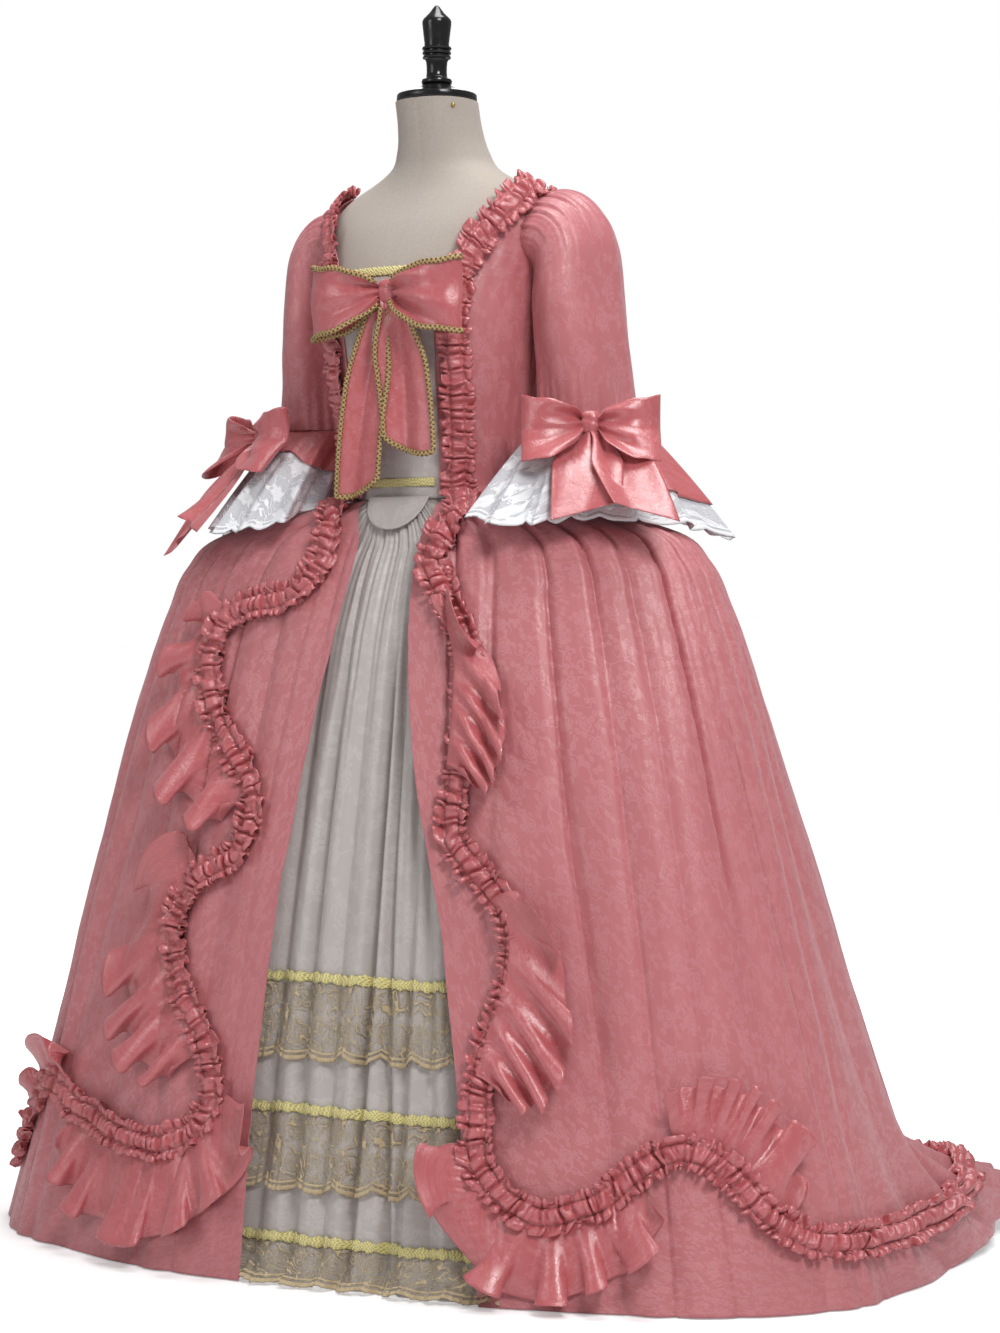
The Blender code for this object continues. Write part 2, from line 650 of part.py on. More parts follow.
def bow(prefix, middle, facing, reach, loop_height, knot, lean, tails, material):
    """A tied bow: its knot, two loops and two tails, in a frame that faces one way.

    lean is how far the loops' lower halves stand out, and tails holds rows of (sideways at the
    foot, outward at the foot, drop, half width).
    """
    facing = Vector(facing).normalized()
    up = Vector((0, 0, 1))
    right = facing.cross(up) * -1
    items = []

    def at(x, z, out):
        return middle + right * x + up * z + facing * out

    ball = bmesh.new()
    bmesh.ops.create_cube(ball, size=1.0)
    bmesh.ops.scale(ball, verts=ball.verts, vec=(2 * knot, knot, 2.2 * knot))
    bmesh.ops.bevel(
        ball, geom=ball.edges[:], offset=knot * 0.25, segments=1, affect="EDGES",
        profile=0.5, material=-1,
    )
    for vertex in ball.verts:
        vertex.co = at(vertex.co.x, vertex.co.z, -vertex.co.y + knot * 0.5)
    bmesh.ops.recalc_face_normals(ball, faces=ball.faces)
    items.append(finished(prefix + "_knot", ball, material))

    for side, word in ((-1, "_loop_right"), (1, "_loop_left")):
        path = [
            (knot + 0.0006, 0.0026, 0.16), (0.36 * reach, 0.017, 0.72), (0.74 * reach, 0.021, 1.0),
            (reach, 0.008, 1.04), (0.74 * reach, -0.005, 1.0), (0.36 * reach, -0.003, 0.66),
            (knot + 0.0006, 0.0, 0.14),
        ]

        def place(across, height_share, side=side, path=path):
            k = int(round((across if side > 0 else 1 - across) * (len(path) - 1)))
            x, out, size = path[k]
            z = (height_share - 0.5) * loop_height * size
            return at(side * x, z - 0.10 * x, out + 0.006 + lean * max(-z, 0.0))

        items.append(sheet(prefix + word, 6, 2, place, TRIM_CLOTH, material))

    for (foot, out_foot, drop, half), word in zip(tails, ("_tail_right", "_tail_left")):
        layer = 0.0046 if word == "_tail_left" else 0.0

        def place(across, height_share, foot=foot, out_foot=out_foot, drop=drop, half=half, layer=layer):
            down = 1 - height_share
            width = 0.007 + (half - 0.007) * smooth_step(down / 0.55)
            x = foot * (0.12 + 0.88 * down) + (across * 2 - 1) * width
            ripple = 0.004 * math.cos(math.tau * across) * smooth_step(down / 0.5)
            out = 0.006 + layer + (out_foot - 0.006) * down + ripple
            return at(x, -1.1 * knot - SEAM - drop * down, out)

        items.append(sheet(prefix + word, 3, 4, place, TRIM_CLOTH, material))
    return items


# The stand


def dress_form(material):
    """The padded torso and neck, one closed body."""
    heights = sorted(row.height for row in TORSO)
    sides = 20
    mesh = bmesh.new()
    rings = []
    for height in heights:
        rings.append([mesh.verts.new(torso(360 * k / sides, height)) for k in range(sides)])
    for low, high in zip(rings, rings[1:]):
        for k in range(sides):
            n = (k + 1) % sides
            mesh.faces.new((low[k], low[n], high[n], high[k]))
    mesh.faces.new(list(reversed(rings[0])))
    mesh.faces.new(rings[-1])
    bmesh.ops.recalc_face_normals(mesh, faces=mesh.faces)
    return finished("dress_form", mesh, material)


def stand(linen, black):
    dress_form(linen)
    neck = Vector((0, between(TORSO, NECK_TOP, "middle"), NECK_TOP + SEAM))
    cap = [(0, 0), (0.051, 0), (0.053, 0.0015), (0.053, 0.009), (0.050, 0.011), (0.026, 0.020),
           (0.018, 0.0235), (0, 0.0235)]
    turned("neck_cap", cap, neck, black, sides=20)
    finial = [
        (0, 0), (0.015, 0), (0.020, 0.004), (0.015, 0.008), (0.0135, 0.022), (0.0150, 0.034),
        (0.0185, 0.036), (0.0155, 0.0385), (0.0190, 0.041), (0.0160, 0.0435), (0.0195, 0.046),
        (0.0165, 0.050), (0.0195, 0.080), (0.0185, 0.086), (0.011, 0.094), (0.003, 0.105), (0, 0.1055),
    ]
    turned("finial", finial, neck + Vector((0, 0, 0.0238)), black)
    underside = TORSO[0].height
    base = [(0, 0), (STAND_RADIUS, 0), (STAND_RADIUS, 0.006), (0.150, 0.012), (0.060, 0.020),
            (0.026, 0.030), (0, 0.030)]
    turned("stand_base", base, Vector((0, 0, 0)), black, sides=24)
    pole = [(0, 0.0303), (0.016, 0.0303), (0.016, underside - SEAM), (0, underside - SEAM)]
    turned("stand_pole", pole, Vector((0, 0, 0)), black)


def build():
    for item in list(bpy.data.objects):
        bpy.data.objects.remove(item, do_unlink=True)

    rose = paint("rose satin", (0.60, 0.17, 0.19), 0.42)
    rose_trim = paint("rose trim satin", (0.62, 0.16, 0.19), 0.38)
    cream = paint("cream satin", (0.62, 0.59, 0.53), 0.45)
    braid = paint("yellow braid", (0.72, 0.62, 0.22), 0.6)
    gold_lace = paint("gold lace", (0.46, 0.38, 0.20), 0.6)
    white_lace = paint("white lace", (0.78, 0.78, 0.80), 0.7)
    linen = paint("linen", (0.56, 0.50, 0.42), 0.85)
    black = paint("black lacquer", (0.012, 0.012, 0.014), 0.25)

    stand(linen, black)

    grids = {True: robe_grid(True), False: robe_grid(False)}
    carried = on_robe(grids)
    robe_side("robe_skirt_left", True, grids[True], rose)
    robe_side("robe_skirt_right", False, grids[False], rose)

    bands = {"left": SERPENT_LEFT, "right": SERPENT_RIGHT}
    ruched_band("skirt_band_left", skirt, SERPENT_LEFT, carried, 0.0031, rose_trim)
    ruched_band("skirt_band_right", skirt, SERPENT_RIGHT, carried, 0.0027, rose_trim)
    ruched_band("train_band_left", skirt, TRAIN_BAND, carried, 0.0030, rose_trim,
                wave_length=TRAIN_BAND_WAVE)
    ruched_band("train_band_right", skirt, mirrored(TRAIN_BAND), carried, 0.0028, rose_trim,
                wave_length=TRAIN_BAND_WAVE)
    for spec in FLOUNCES:
        fan(spec, bands[spec.band], carried, rose_trim)

    def front_place(across, up):
        return petticoat_front(across, PETTICOAT_ROWS[int(round(up * (len(PETTICOAT_ROWS) - 1)))])

    sheet("petticoat_front", PETTICOAT_COLUMNS, len(PETTICOAT_ROWS) - 1, front_place, 0.0016, cream)

    def back_place(across, up):
        turn = PETTICOAT_TO + 0.4 + (PETTICOAT_FROM + 359.2 - PETTICOAT_TO) * across
        height = PETTICOAT_ROWS[int(round(up * (len(PETTICOAT_ROWS) - 1)))]
        return petticoat(turn if turn <= 180 else turn - 360, height)

    sheet("petticoat_back", 18, len(PETTICOAT_ROWS) - 1, back_place, 0.0016, cream)

    band_on_petticoat("lace_tier_top", 0.372, 0.280, 1, 0.0024, LACE, gold_lace, scallop=0.012)
    band_on_petticoat("lace_tier_middle", 0.208, 0.120, 1, 0.0024, LACE, gold_lace, scallop=0.012)
    band_on_petticoat("lace_tier_hem", 0.050, 0.004, 1, 0.0024, LACE, gold_lace, scallop=0.008)
    band_on_petticoat("braid_top", 0.386, 0.374, 1, 0.0021, 0.0012, braid)
    band_on_petticoat("braid_middle", 0.222, 0.210, 1, 0.0021, 0.0012, braid)
    band_on_petticoat("braid_hem", 0.064, 0.052, 1, 0.0021, 0.0012, braid)

    bow_tails = {
        "left": [(-0.008, 0.114, 0.106, 0.044), (0.066, 0.128, 0.109, 0.040)],
        "right": [(-0.010, 0.134, 0.140, 0.032), (0.030, 0.122, 0.110, 0.034)],
    }
    for side, word in ((1, "left"), (-1, "right")):
        bodice_front("bodice_front_" + word, side, rose)
        spots = ROBING if side > 0 else mirrored(ROBING)
        ruched_band("robing_" + word, torso, spots, on_bodice, 0.0019, rose_trim, half_width=0.017)
        spots = BACK_NECK if side > 0 else mirrored(BACK_NECK)
        ruched_band("neck_band_" + word, torso, spots, on_bodice, 0.0015, rose_trim, half_width=0.014)
        sleeve("sleeve_" + word, side, rose)
        cuff_flounce("cuff_flounce_" + word, side, 0.0, SATIN_SHARE, 0.0, TRIM_CLOTH, rose_trim)
        cuff_flounce("cuff_lace_" + word, side, 0.06, 1.0, 0.0058, LACE, white_lace)
        facing = Vector((side * 0.515, -0.857, 0.0))
        knot_place = Vector((side * CUFF.x, CUFF.y, SLEEVE_END - 0.008)) + facing * 0.0889
        bow("sleeve_bow_" + word, knot_place, facing, 0.088, 0.080, 0.013, 0.9, bow_tails[word], rose_trim)
    bodice_back("bodice_back", rose)

    stomacher_rows = [0.9965, 1.050, 1.110, 1.170, 1.220, 1.270, 1.288]

    def stomacher_place(across, up):
        height = stomacher_rows[int(round(up * (len(stomacher_rows) - 1)))]
        return moved_out(torso, -35 + 70 * across, height, STOMACHER_OUT)

    sheet("stomacher", 8, len(stomacher_rows) - 1, stomacher_place, 0.0014, cream)

    def tab_place(across, up):
        sideways = 2 * across - 1
        height = 0.992 - 0.035 * (1 - up) * (1 - sideways ** 2) ** 0.5
        x = 0.004 + 0.046 * sideways
        return moved_out(skirt, turn_at(x, height), height, 0.0065 - tuck(height))

    sheet("stomacher_tab", 8, 2, tab_place, 0.0012, cream)

    def top_trim_place(across, up):
        return moved_out(torso, -30 + 60 * across, 1.280 + 0.009 * up, STOMACHER_OUT + 0.0016)

    sheet("stomacher_braid_top", 10, 1, top_trim_place, 0.0012, braid)

    def waist_trim_place(across, up):
        return moved_out(torso, -25 + 50 * across, 1.008 + 0.009 * up, STOMACHER_OUT + 0.0016)

    sheet("stomacher_braid_waist", 10, 1, waist_trim_place, 0.0012, braid)

    bow("front_bow", Vector((0.010, -0.1359, 1.258)), (0.0, -1.0, 0.0), 0.112, 0.086, 0.012, 0.0,
        [(-0.050, -0.004, 0.246, 0.036), (0.036, 0.004, 0.196, 0.043)], rose_trim)


build()
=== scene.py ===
import math
from collections import namedtuple

import bmesh
import bpy
import numpy as np
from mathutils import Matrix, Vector


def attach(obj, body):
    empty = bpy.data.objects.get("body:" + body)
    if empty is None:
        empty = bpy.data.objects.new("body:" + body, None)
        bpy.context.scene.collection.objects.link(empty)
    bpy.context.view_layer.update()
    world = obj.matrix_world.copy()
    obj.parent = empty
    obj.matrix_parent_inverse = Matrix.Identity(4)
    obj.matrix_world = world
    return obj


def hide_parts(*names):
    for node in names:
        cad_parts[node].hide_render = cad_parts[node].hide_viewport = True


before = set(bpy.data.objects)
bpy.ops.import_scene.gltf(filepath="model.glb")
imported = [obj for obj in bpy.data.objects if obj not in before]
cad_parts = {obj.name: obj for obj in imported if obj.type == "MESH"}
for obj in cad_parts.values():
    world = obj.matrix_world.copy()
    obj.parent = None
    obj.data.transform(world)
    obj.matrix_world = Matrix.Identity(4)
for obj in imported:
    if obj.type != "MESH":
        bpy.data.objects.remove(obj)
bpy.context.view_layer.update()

# The gown faces -Y and the wearer's left is +X. A turn is in degrees from the front, positive
# towards the wearer's left, and a height is in metres above the floor.

WAIST = 0.995
SEAM = 0.0003
HEM_LIFT = 0.0008
BODICE_OUT = 0.0052
STOMACHER_OUT = 0.0024
PETTICOAT_FROM = -30.0
PETTICOAT_TO = 45.0
NECK_TOP = 1.522
SLEEVE_END = 1.092

SATIN_WALL = 0.0009
TRIM_WALL = 0.0006
LACE_WALL = 0.0005
STOMACHER_WALL = 0.0010
TAB_WALL = 0.0012
EDGING_WALL = 0.0008
FLOOR_CLEARANCE = 0.0006
MERGE = 0.00001

Section = namedtuple("Section", "height half_width front back back_height")
SKIRT = [
    Section(0.995, 0.128, 0.106, 0.096, 0.995),
    Section(0.983, 0.185, 0.117, 0.125, 0.985),
    Section(0.968, 0.262, 0.130, 0.155, 0.972),
    Section(0.945, 0.343, 0.147, 0.190, 0.952),
    Section(0.905, 0.390, 0.168, 0.220, 0.915),
    Section(0.850, 0.416, 0.190, 0.252, 0.860),
    Section(0.730, 0.458, 0.220, 0.300, 0.735),
    Section(0.600, 0.495, 0.245, 0.350, 0.600),
    Section(0.470, 0.532, 0.268, 0.405, 0.465),
    Section(0.340, 0.568, 0.288, 0.465, 0.330),
    Section(0.210, 0.604, 0.306, 0.540, 0.200),
    Section(0.100, 0.634, 0.322, 0.660, 0.085),
    Section(0.040, 0.652, 0.332, 0.820, 0.025),
    Section(0.000, 0.664, 0.340, 1.040, 0.004),
]
FRONT_ROUNDNESS = 2.25
BACK_ROUNDNESS = 1.92

TorsoSection = namedtuple("TorsoSection", "height half_width front back middle")
TORSO = [
    TorsoSection(0.900, 0.150, 0.108, 0.118, 0.000),
    TorsoSection(0.950, 0.142, 0.106, 0.108, 0.000),
    TorsoSection(0.995, 0.1184, 0.0983, 0.0893, 0.000),
    TorsoSection(1.050, 0.122, 0.103, 0.092, 0.000),
    TorsoSection(1.110, 0.130, 0.114, 0.100, 0.000),
    TorsoSection(1.170, 0.138, 0.128, 0.108, 0.000),
    TorsoSection(1.220, 0.142, 0.136, 0.112, 0.000),
    TorsoSection(1.270, 0.146, 0.132, 0.114, 0.002),
    TorsoSection(1.320, 0.152, 0.118, 0.114, 0.006),
    TorsoSection(1.355, 0.158, 0.104, 0.108, 0.010),
    TorsoSection(1.382, 0.154, 0.088, 0.098, 0.013),
    TorsoSection(1.402, 0.132, 0.076, 0.086, 0.015),
    TorsoSection(1.418, 0.100, 0.068, 0.076, 0.015),
    TorsoSection(1.434, 0.074, 0.061, 0.067, 0.013),
    TorsoSection(1.458, 0.061, 0.056, 0.059, 0.008),
    TorsoSection(1.490, 0.055, 0.053, 0.054, 0.000),
    TorsoSection(NECK_TOP, 0.054, 0.052, 0.053, -0.008),
]
TORSO_ROUNDNESS = 2.25

Edge = namedtuple("Edge", "height left right")
OPENING = [
    Edge(0.995, -24.0, 28.0),
    Edge(0.983, -16.0, 20.0),
    Edge(0.968, -10.0, 15.0),
    Edge(0.945, -5.5, 11.0),
    Edge(0.905, -4.0, 9.8),
    Edge(0.850, -4.2, 10.0),
    Edge(0.730, -5.8, 11.3),
    Edge(0.600, -7.3, 13.8),
    Edge(0.470, -8.4, 17.2),
    Edge(0.340, -8.5, 19.0),
    Edge(0.210, -8.6, 20.2),
    Edge(0.100, -8.1, 21.0),
    Edge(0.000, -7.4, 22.2),
]

Spot = namedtuple("Spot", "turn height")
SERPENT_RIGHT = [
    Spot(-30.0, 0.985), Spot(-15.5, 0.960), Spot(-11.0, 0.915), Spot(-14.0, 0.870),
    Spot(-22.0, 0.853), Spot(-29.5, 0.838), Spot(-31.3, 0.790), Spot(-28.0, 0.727),
    Spot(-21.5, 0.668), Spot(-15.0, 0.605), Spot(-16.5, 0.535), Spot(-23.5, 0.492),
    Spot(-25.8, 0.430), Spot(-22.0, 0.355), Spot(-15.8, 0.275), Spot(-15.0, 0.200),
    Spot(-21.0, 0.158), Spot(-31.0, 0.163), Spot(-42.0, 0.188), Spot(-53.0, 0.205),
    Spot(-60.0, 0.150), Spot(-68.0, 0.098), Spot(-80.0, 0.076),
]
SERPENT_LEFT = [
    Spot(32.0, 0.985), Spot(18.5, 0.955), Spot(13.8, 0.908), Spot(17.0, 0.862),
    Spot(21.3, 0.800), Spot(21.5, 0.725), Spot(20.3, 0.640), Spot(19.4, 0.565),
    Spot(23.5, 0.514), Spot(28.0, 0.462), Spot(27.6, 0.390), Spot(24.3, 0.310),
    Spot(22.6, 0.235), Spot(23.2, 0.160), Spot(29.0, 0.112), Spot(36.0, 0.126),
    Spot(42.5, 0.168), Spot(49.0, 0.190), Spot(55.0, 0.165), Spot(60.5, 0.112),
    Spot(68.0, 0.083), Spot(80.0, 0.074),
]
TRAIN_BAND = [
    Spot(79.2, 0.075), Spot(100.0, 0.070), Spot(120.0, 0.052), Spot(140.0, 0.036),
    Spot(160.0, 0.026), Spot(179.6, 0.024),
]

# A flounce runs from start to stop along its band's spots, on one side of it. Its gathered edge lies
# start_out from the band's middle, its hem depth further out and drop lower, and lobes are the widths
# of its cones, one beside the other.
Flounce = namedtuple("Flounce", "name band start stop side start_out depth drop lobes")
FLOUNCES = [
    Flounce("flounce_right_hip", "right", 5.0, 9.0, 1, 0.012, 0.056, 0.048, (0.8, 1.0, 1.2, 1.2, 1.1)),
    Flounce("flounce_right_knee", "right", 10.8, 13.9, 1, 0.012, 0.088, 0.040, (2.6, 1.2, 1.1, 1.0, 0.9)),
    Flounce("flounce_right_hem", "right", 14.6, 18.0, -1, 0.012, 0.086, 0.020,
            (1.4, 0.8, 1.0, 2.0, 1.0, 0.9)),
    Flounce("flounce_right_side", "right", 18.3, 20.6, 1, 0.012, 0.036, -0.004, (0.9, 1.1, 1.4)),
    Flounce("flounce_left_hip", "left", 3.0, 5.9, -1, -0.016, 0.062, 0.086, (2.2, 1.5, 1.0, 1.0, 1.0)),
    Flounce("flounce_left_knee", "left", 8.6, 11.5, -1, -0.004, 0.070, 0.074, (2.2, 1.4, 1.0, 1.0, 1.0)),
    Flounce("flounce_left_hem", "left", 12.5, 15.9, 1, 0.012, 0.070, 0.010, (2.6, 1.1, 0.9, 1.0, 1.8)),
    Flounce("flounce_left_side", "left", 16.8, 19.4, -1, 0.012, 0.074, -0.008,
            (0.7, 0.7, 0.7, 0.7, 0.8, 2.8)),
]

BodiceEdge = namedtuple("BodiceEdge", "neck_turn neck_height arm_turn arm_height")
BODICE_FRONT = [
    BodiceEdge(89.8, 1.402, 89.9, 1.370),
    BodiceEdge(76.0, 1.400, 89.2, 1.360),
    BodiceEdge(64.0, 1.390, 88.8, 1.350),
    BodiceEdge(52.0, 1.368, 88.8, 1.334),
    BodiceEdge(42.0, 1.330, 89.2, 1.313),
    BodiceEdge(34.0, 1.295, 89.6, 1.290),
    BodiceEdge(29.0, 1.270, 89.8, 1.270),
    BodiceEdge(28.0, 1.220, 89.8, 1.220),
    BodiceEdge(28.0, 1.170, 89.8, 1.170),
    BodiceEdge(28.0, 1.110, 89.8, 1.110),
    BodiceEdge(28.0, 1.050, 89.8, 1.050),
    BodiceEdge(27.5, 0.9925, 89.8, 0.9925),
]
BODICE_BACK = [
    BodiceEdge(180.0, 1.378, 90.2, 1.370),
    BodiceEdge(180.0, 1.355, 90.4, 1.350),
    BodiceEdge(180.0, 1.325, 90.4, 1.325),
    BodiceEdge(180.0, 1.295, 90.4, 1.290),
    BodiceEdge(180.0, 1.270, 90.2, 1.270),
    BodiceEdge(180.0, 1.220, 90.2, 1.220),
    BodiceEdge(180.0, 1.170, 90.2, 1.170),
    BodiceEdge(180.0, 1.110, 90.2, 1.110),
    BodiceEdge(180.0, 1.050, 90.2, 1.050),
    BodiceEdge(180.0, 0.9925, 90.2, 0.9925),
]
ROBING = [
    Spot(86.5, 1.394), Spot(64.0, 1.388), Spot(50.0, 1.352), Spot(42.5, 1.312),
    Spot(38.5, 1.265), Spot(38.0, 1.200), Spot(38.5, 1.130), Spot(39.5, 1.060),
    Spot(40.0, 0.996),
]
BACK_NECK = [Spot(95.0, 1.390), Spot(118.0, 1.362), Spot(150.0, 1.352), Spot(179.6, 1.350)]

SleeveRing = namedtuple("SleeveRing", "x y z tilt radius depth")
SLEEVE = [
    SleeveRing(0.1180, 0.029, 1.336, -4.0, 0.050, 0.054),
    SleeveRing(0.1580, 0.028, 1.337, 12.0, 0.057, 0.071),
    SleeveRing(0.1795, 0.029, 1.328, 32.0, 0.058, 0.073),
    SleeveRing(0.1930, 0.029, 1.302, 55.0, 0.056, 0.076),
    SleeveRing(0.1972, 0.028, 1.250, 74.0, 0.052, 0.079),
    SleeveRing(0.2020, 0.030, 1.200, 84.0, 0.052, 0.078),
    SleeveRing(0.2050, 0.033, 1.150, 86.0, 0.054, 0.076),
    SleeveRing(0.2075, 0.035, SLEEVE_END, 90.0, 0.059, 0.073),
]
Ring = namedtuple("Ring", "x y half_width half_depth")
HemSpot = namedtuple("HemSpot", "x y height")
CUFF = Ring(0.2075, 0.035, 0.059, 0.073)
LACE_HEM = [
    HemSpot(0.362, 0.012, 0.951), HemSpot(0.290, -0.112, 0.956), HemSpot(0.235, -0.172, 0.948),
    HemSpot(0.148, -0.165, 0.958), HemSpot(0.150, -0.020, 0.997), HemSpot(0.165, 0.105, 0.993),
    HemSpot(0.270, 0.180, 0.962), HemSpot(0.378, 0.125, 0.937),
]

# The forms that the cloth hangs on, for arrays of turns and heights


def smooth_step(value):
    value = np.clip(value, 0.0, 1.0)
    return value * value * (3 - 2 * value)


def read(table, height, name):
    """A column of a table at each height, on a smooth line through its rows."""
    rows = sorted(table, key=lambda row: row.height)
    at = np.array([row.height for row in rows])
    values = np.array([getattr(row, name) for row in rows])
    slopes = np.gradient(values, at)
    k = np.clip(np.searchsorted(at, height) - 1, 0, len(at) - 2)
    span = at[k + 1] - at[k]
    t = np.clip((height - at[k]) / span, 0, 1)
    low = values[k] * (1 + 2 * t) * (1 - t) ** 2 + span * slopes[k] * t * (1 - t) ** 2
    high = values[k + 1] * t * t * (3 - 2 * t) - span * slopes[k + 1] * t * t * (1 - t)
    return low + high


def rounded(turn, half_width, front, back, front_roundness, back_roundness):
    sine, cosine = np.sin(np.radians(turn)), np.cos(np.radians(turn))
    power = np.where(cosine >= 0, front_roundness, back_roundness)
    size = (np.abs(sine) ** power + np.abs(cosine) ** power) ** (1 / power)
    return half_width * sine / size, -np.where(cosine >= 0, front, back) * cosine / size


def skirt(turn, height):
    """The skirt's form without its folds."""
    size = [read(SKIRT, height, name) for name in ("half_width", "front", "back")]
    x, y = rounded(turn, *size, FRONT_ROUNDNESS, BACK_ROUNDNESS)
    behind = smooth_step((np.abs(turn) - 90) / 70)
    z = height * (1 - behind) + read(SKIRT, height, "back_height") * behind
    return np.stack([x, y, z + HEM_LIFT * (1 - height / WAIST)], axis=-1)


def torso(turn, height):
    """The dress form."""
    size = [read(TORSO, height, name) for name in ("half_width", "front", "back")]
    x, y = rounded(turn, *size, TORSO_ROUNDNESS, TORSO_ROUNDNESS)
    return np.stack([x, y + read(TORSO, height, "middle"), height + 0 * x], axis=-1)


def unit(vectors):
    return vectors / np.maximum(np.linalg.norm(vectors, axis=-1, keepdims=True), 1e-12)


def outward(form, turn, height):
    along = form(turn + 0.5, height) - form(turn - 0.5, height)
    up = form(turn, height + 0.004) - form(turn, height - 0.004)
    return unit(np.cross(along, up))


def moved_out(form, turn, height, distance):
    return form(turn, height) + outward(form, turn, height) * np.asarray(distance)[..., None]


def through(rows, share):
    """A smooth curve through rows of numbers, at shares from 0 at the first row to 1 at the last."""
    rows = np.asarray([tuple(row) for row in rows], float)
    last = len(rows) - 1
    at = np.clip(share, 0, 1) * last
    k = np.minimum(at.astype(int), last - 1)
    t = (at - k)[..., None]
    a, b = rows[np.maximum(k - 1, 0)], rows[k]
    c, d = rows[k + 1], rows[np.minimum(k + 2, last)]
    return 0.5 * (2 * b + (c - a) * t + (2 * a - 5 * b + 4 * c - d) * t ** 2
                  + (3 * b - a - 3 * c + d) * t ** 3)


def beside(form, spots, share, distance):
    """The turns and heights that lie to the right of a curve of spots by a distance."""
    last = len(spots) - 1
    here = through(spots, share / last)
    ahead = through(spots, np.minimum(share + 0.02, last) / last)
    back = through(spots, np.maximum(share - 0.02, 0) / last)
    turn, height = here[..., 0], here[..., 1]
    along = unit(form(ahead[..., 0], ahead[..., 1]) - form(back[..., 0], back[..., 1]))
    side = np.cross(along, outward(form, turn, height))
    side = unit(side) * np.asarray(distance)[..., None]
    per_degree = form(turn + 0.5, height) - form(turn - 0.5, height)
    per_metre = (form(turn, height + 0.004) - form(turn, height - 0.004)) / 0.008
    a, b = (per_degree ** 2).sum(-1), (per_degree * per_metre).sum(-1)
    c = (per_metre ** 2).sum(-1)
    u, v = (per_degree * side).sum(-1), (per_metre * side).sum(-1)
    size = a * c - b * b
    return turn + (u * c - v * b) / size, height + (v * a - u * b) / size


def even_run(form, spots):
    """Shares along the spots and how far along the form each lies, in metres."""
    share = np.linspace(0, len(spots) - 1, 60 * (len(spots) - 1) + 1)
    here = through(spots, share / (len(spots) - 1))
    points = form(here[:, 0], here[:, 1])
    steps = np.linalg.norm(np.diff(points, axis=0), axis=1)
    return share, np.concatenate([[0.0], np.cumsum(steps)])


def ripple(u, v, seed):
    """A gentle uneven wave over a piece, from -1 to 1."""
    total = 0.0
    for k in range(1, 6):
        angle = seed * 1.7 + k * 2.39
        total = total + np.sin(k * 0.9 * (u * math.cos(angle) + v * math.sin(angle)) + seed * k) / k ** 0.7
    return total / 2.6


def uneven(x, seed):
    """A smooth line from -1 to 1 that never repeats."""
    waves = np.sin(x + seed) + np.sin(1.618 * x + 2.3 * seed) + np.sin(2.718 * x + 4.1 * seed)
    return waves / 3


def winding_tables(steps=41, places=129):
    """One wave of a winding line for each swing of its direction, as its places along and across."""
    swings = np.linspace(0, 2.0, steps)[:, None]
    middles = (np.arange(places - 1) + 0.5) / (places - 1)
    heading = swings * np.cos(math.tau * middles)
    tables = []
    for part in (np.cos(heading), np.sin(heading)):
        run = np.concatenate([np.zeros((steps, 1)), np.cumsum(part, axis=1)], axis=1)
        tables.append(run / np.cos(heading).sum(axis=1, keepdims=True))
    return tables


WINDING_ALONG, WINDING_ACROSS = winding_tables()


def winding(phase, swing):
    """How far gathered cloth leans along its edge and stands across it, in wavelengths."""
    steps, places = WINDING_ALONG.shape
    share = phase - np.floor(phase)
    a = np.clip(swing / 2.0, 0, 1) * (steps - 1)
    b = share * (places - 1)
    i = np.minimum(a.astype(int), steps - 2)
    j = np.minimum(b.astype(int), places - 2)
    s, t = a - i, b - j
    found = []
    for table in (WINDING_ALONG, WINDING_ACROSS):
        low = table[i, j] * (1 - t) + table[i, j + 1] * t
        high = table[i + 1, j] * (1 - t) + table[i + 1, j + 1] * t
        found.append(low * (1 - s) + high * s)
    return found[0] - share, found[1]


# Cloth


def grid_sheet(name, columns, rows):
    """A flat grid as mesh data, with each corner's share across and up."""
    shape = bmesh.new()
    bmesh.ops.create_grid(shape, x_segments=columns, y_segments=rows, size=0.5)
    data = bpy.data.meshes.new(name)
    shape.to_mesh(data)
    shape.free()
    corners = np.empty(3 * len(data.vertices))
    data.vertices.foreach_get("co", corners)
    corners = corners.reshape(-1, 3) + 0.5
    across = np.clip(np.round(corners[:, 0] * columns) / columns, 0, 1)
    return data, across, np.clip(np.round(corners[:, 1] * rows) / rows, 0, 1)


def lay_out(data, flat):
    """Gives a mesh a UV map in metres of flat cloth, from each corner's place on it."""
    corner_of = np.empty(len(data.loops), np.int64)
    data.loops.foreach_get("vertex_index", corner_of)
    layer = data.uv_layers.new(name="Cloth")
    layer.data.foreach_set("uv", flat[corner_of].astype(np.float32).ravel())


def merged(data, close=False):
    """Joins the corners of a mesh that meet, and fills its open ends if close."""
    shape = bmesh.new()
    shape.from_mesh(data)
    bmesh.ops.remove_doubles(shape, verts=shape.verts, dist=MERGE)
    if close:
        bmesh.ops.holes_fill(shape, edges=[edge for edge in shape.edges if edge.is_boundary], sides=0)
        bmesh.ops.recalc_face_normals(shape, faces=shape.faces)
    shape.to_mesh(data)
    shape.free()


Fabric = namedtuple("Fabric", "material slot wall")


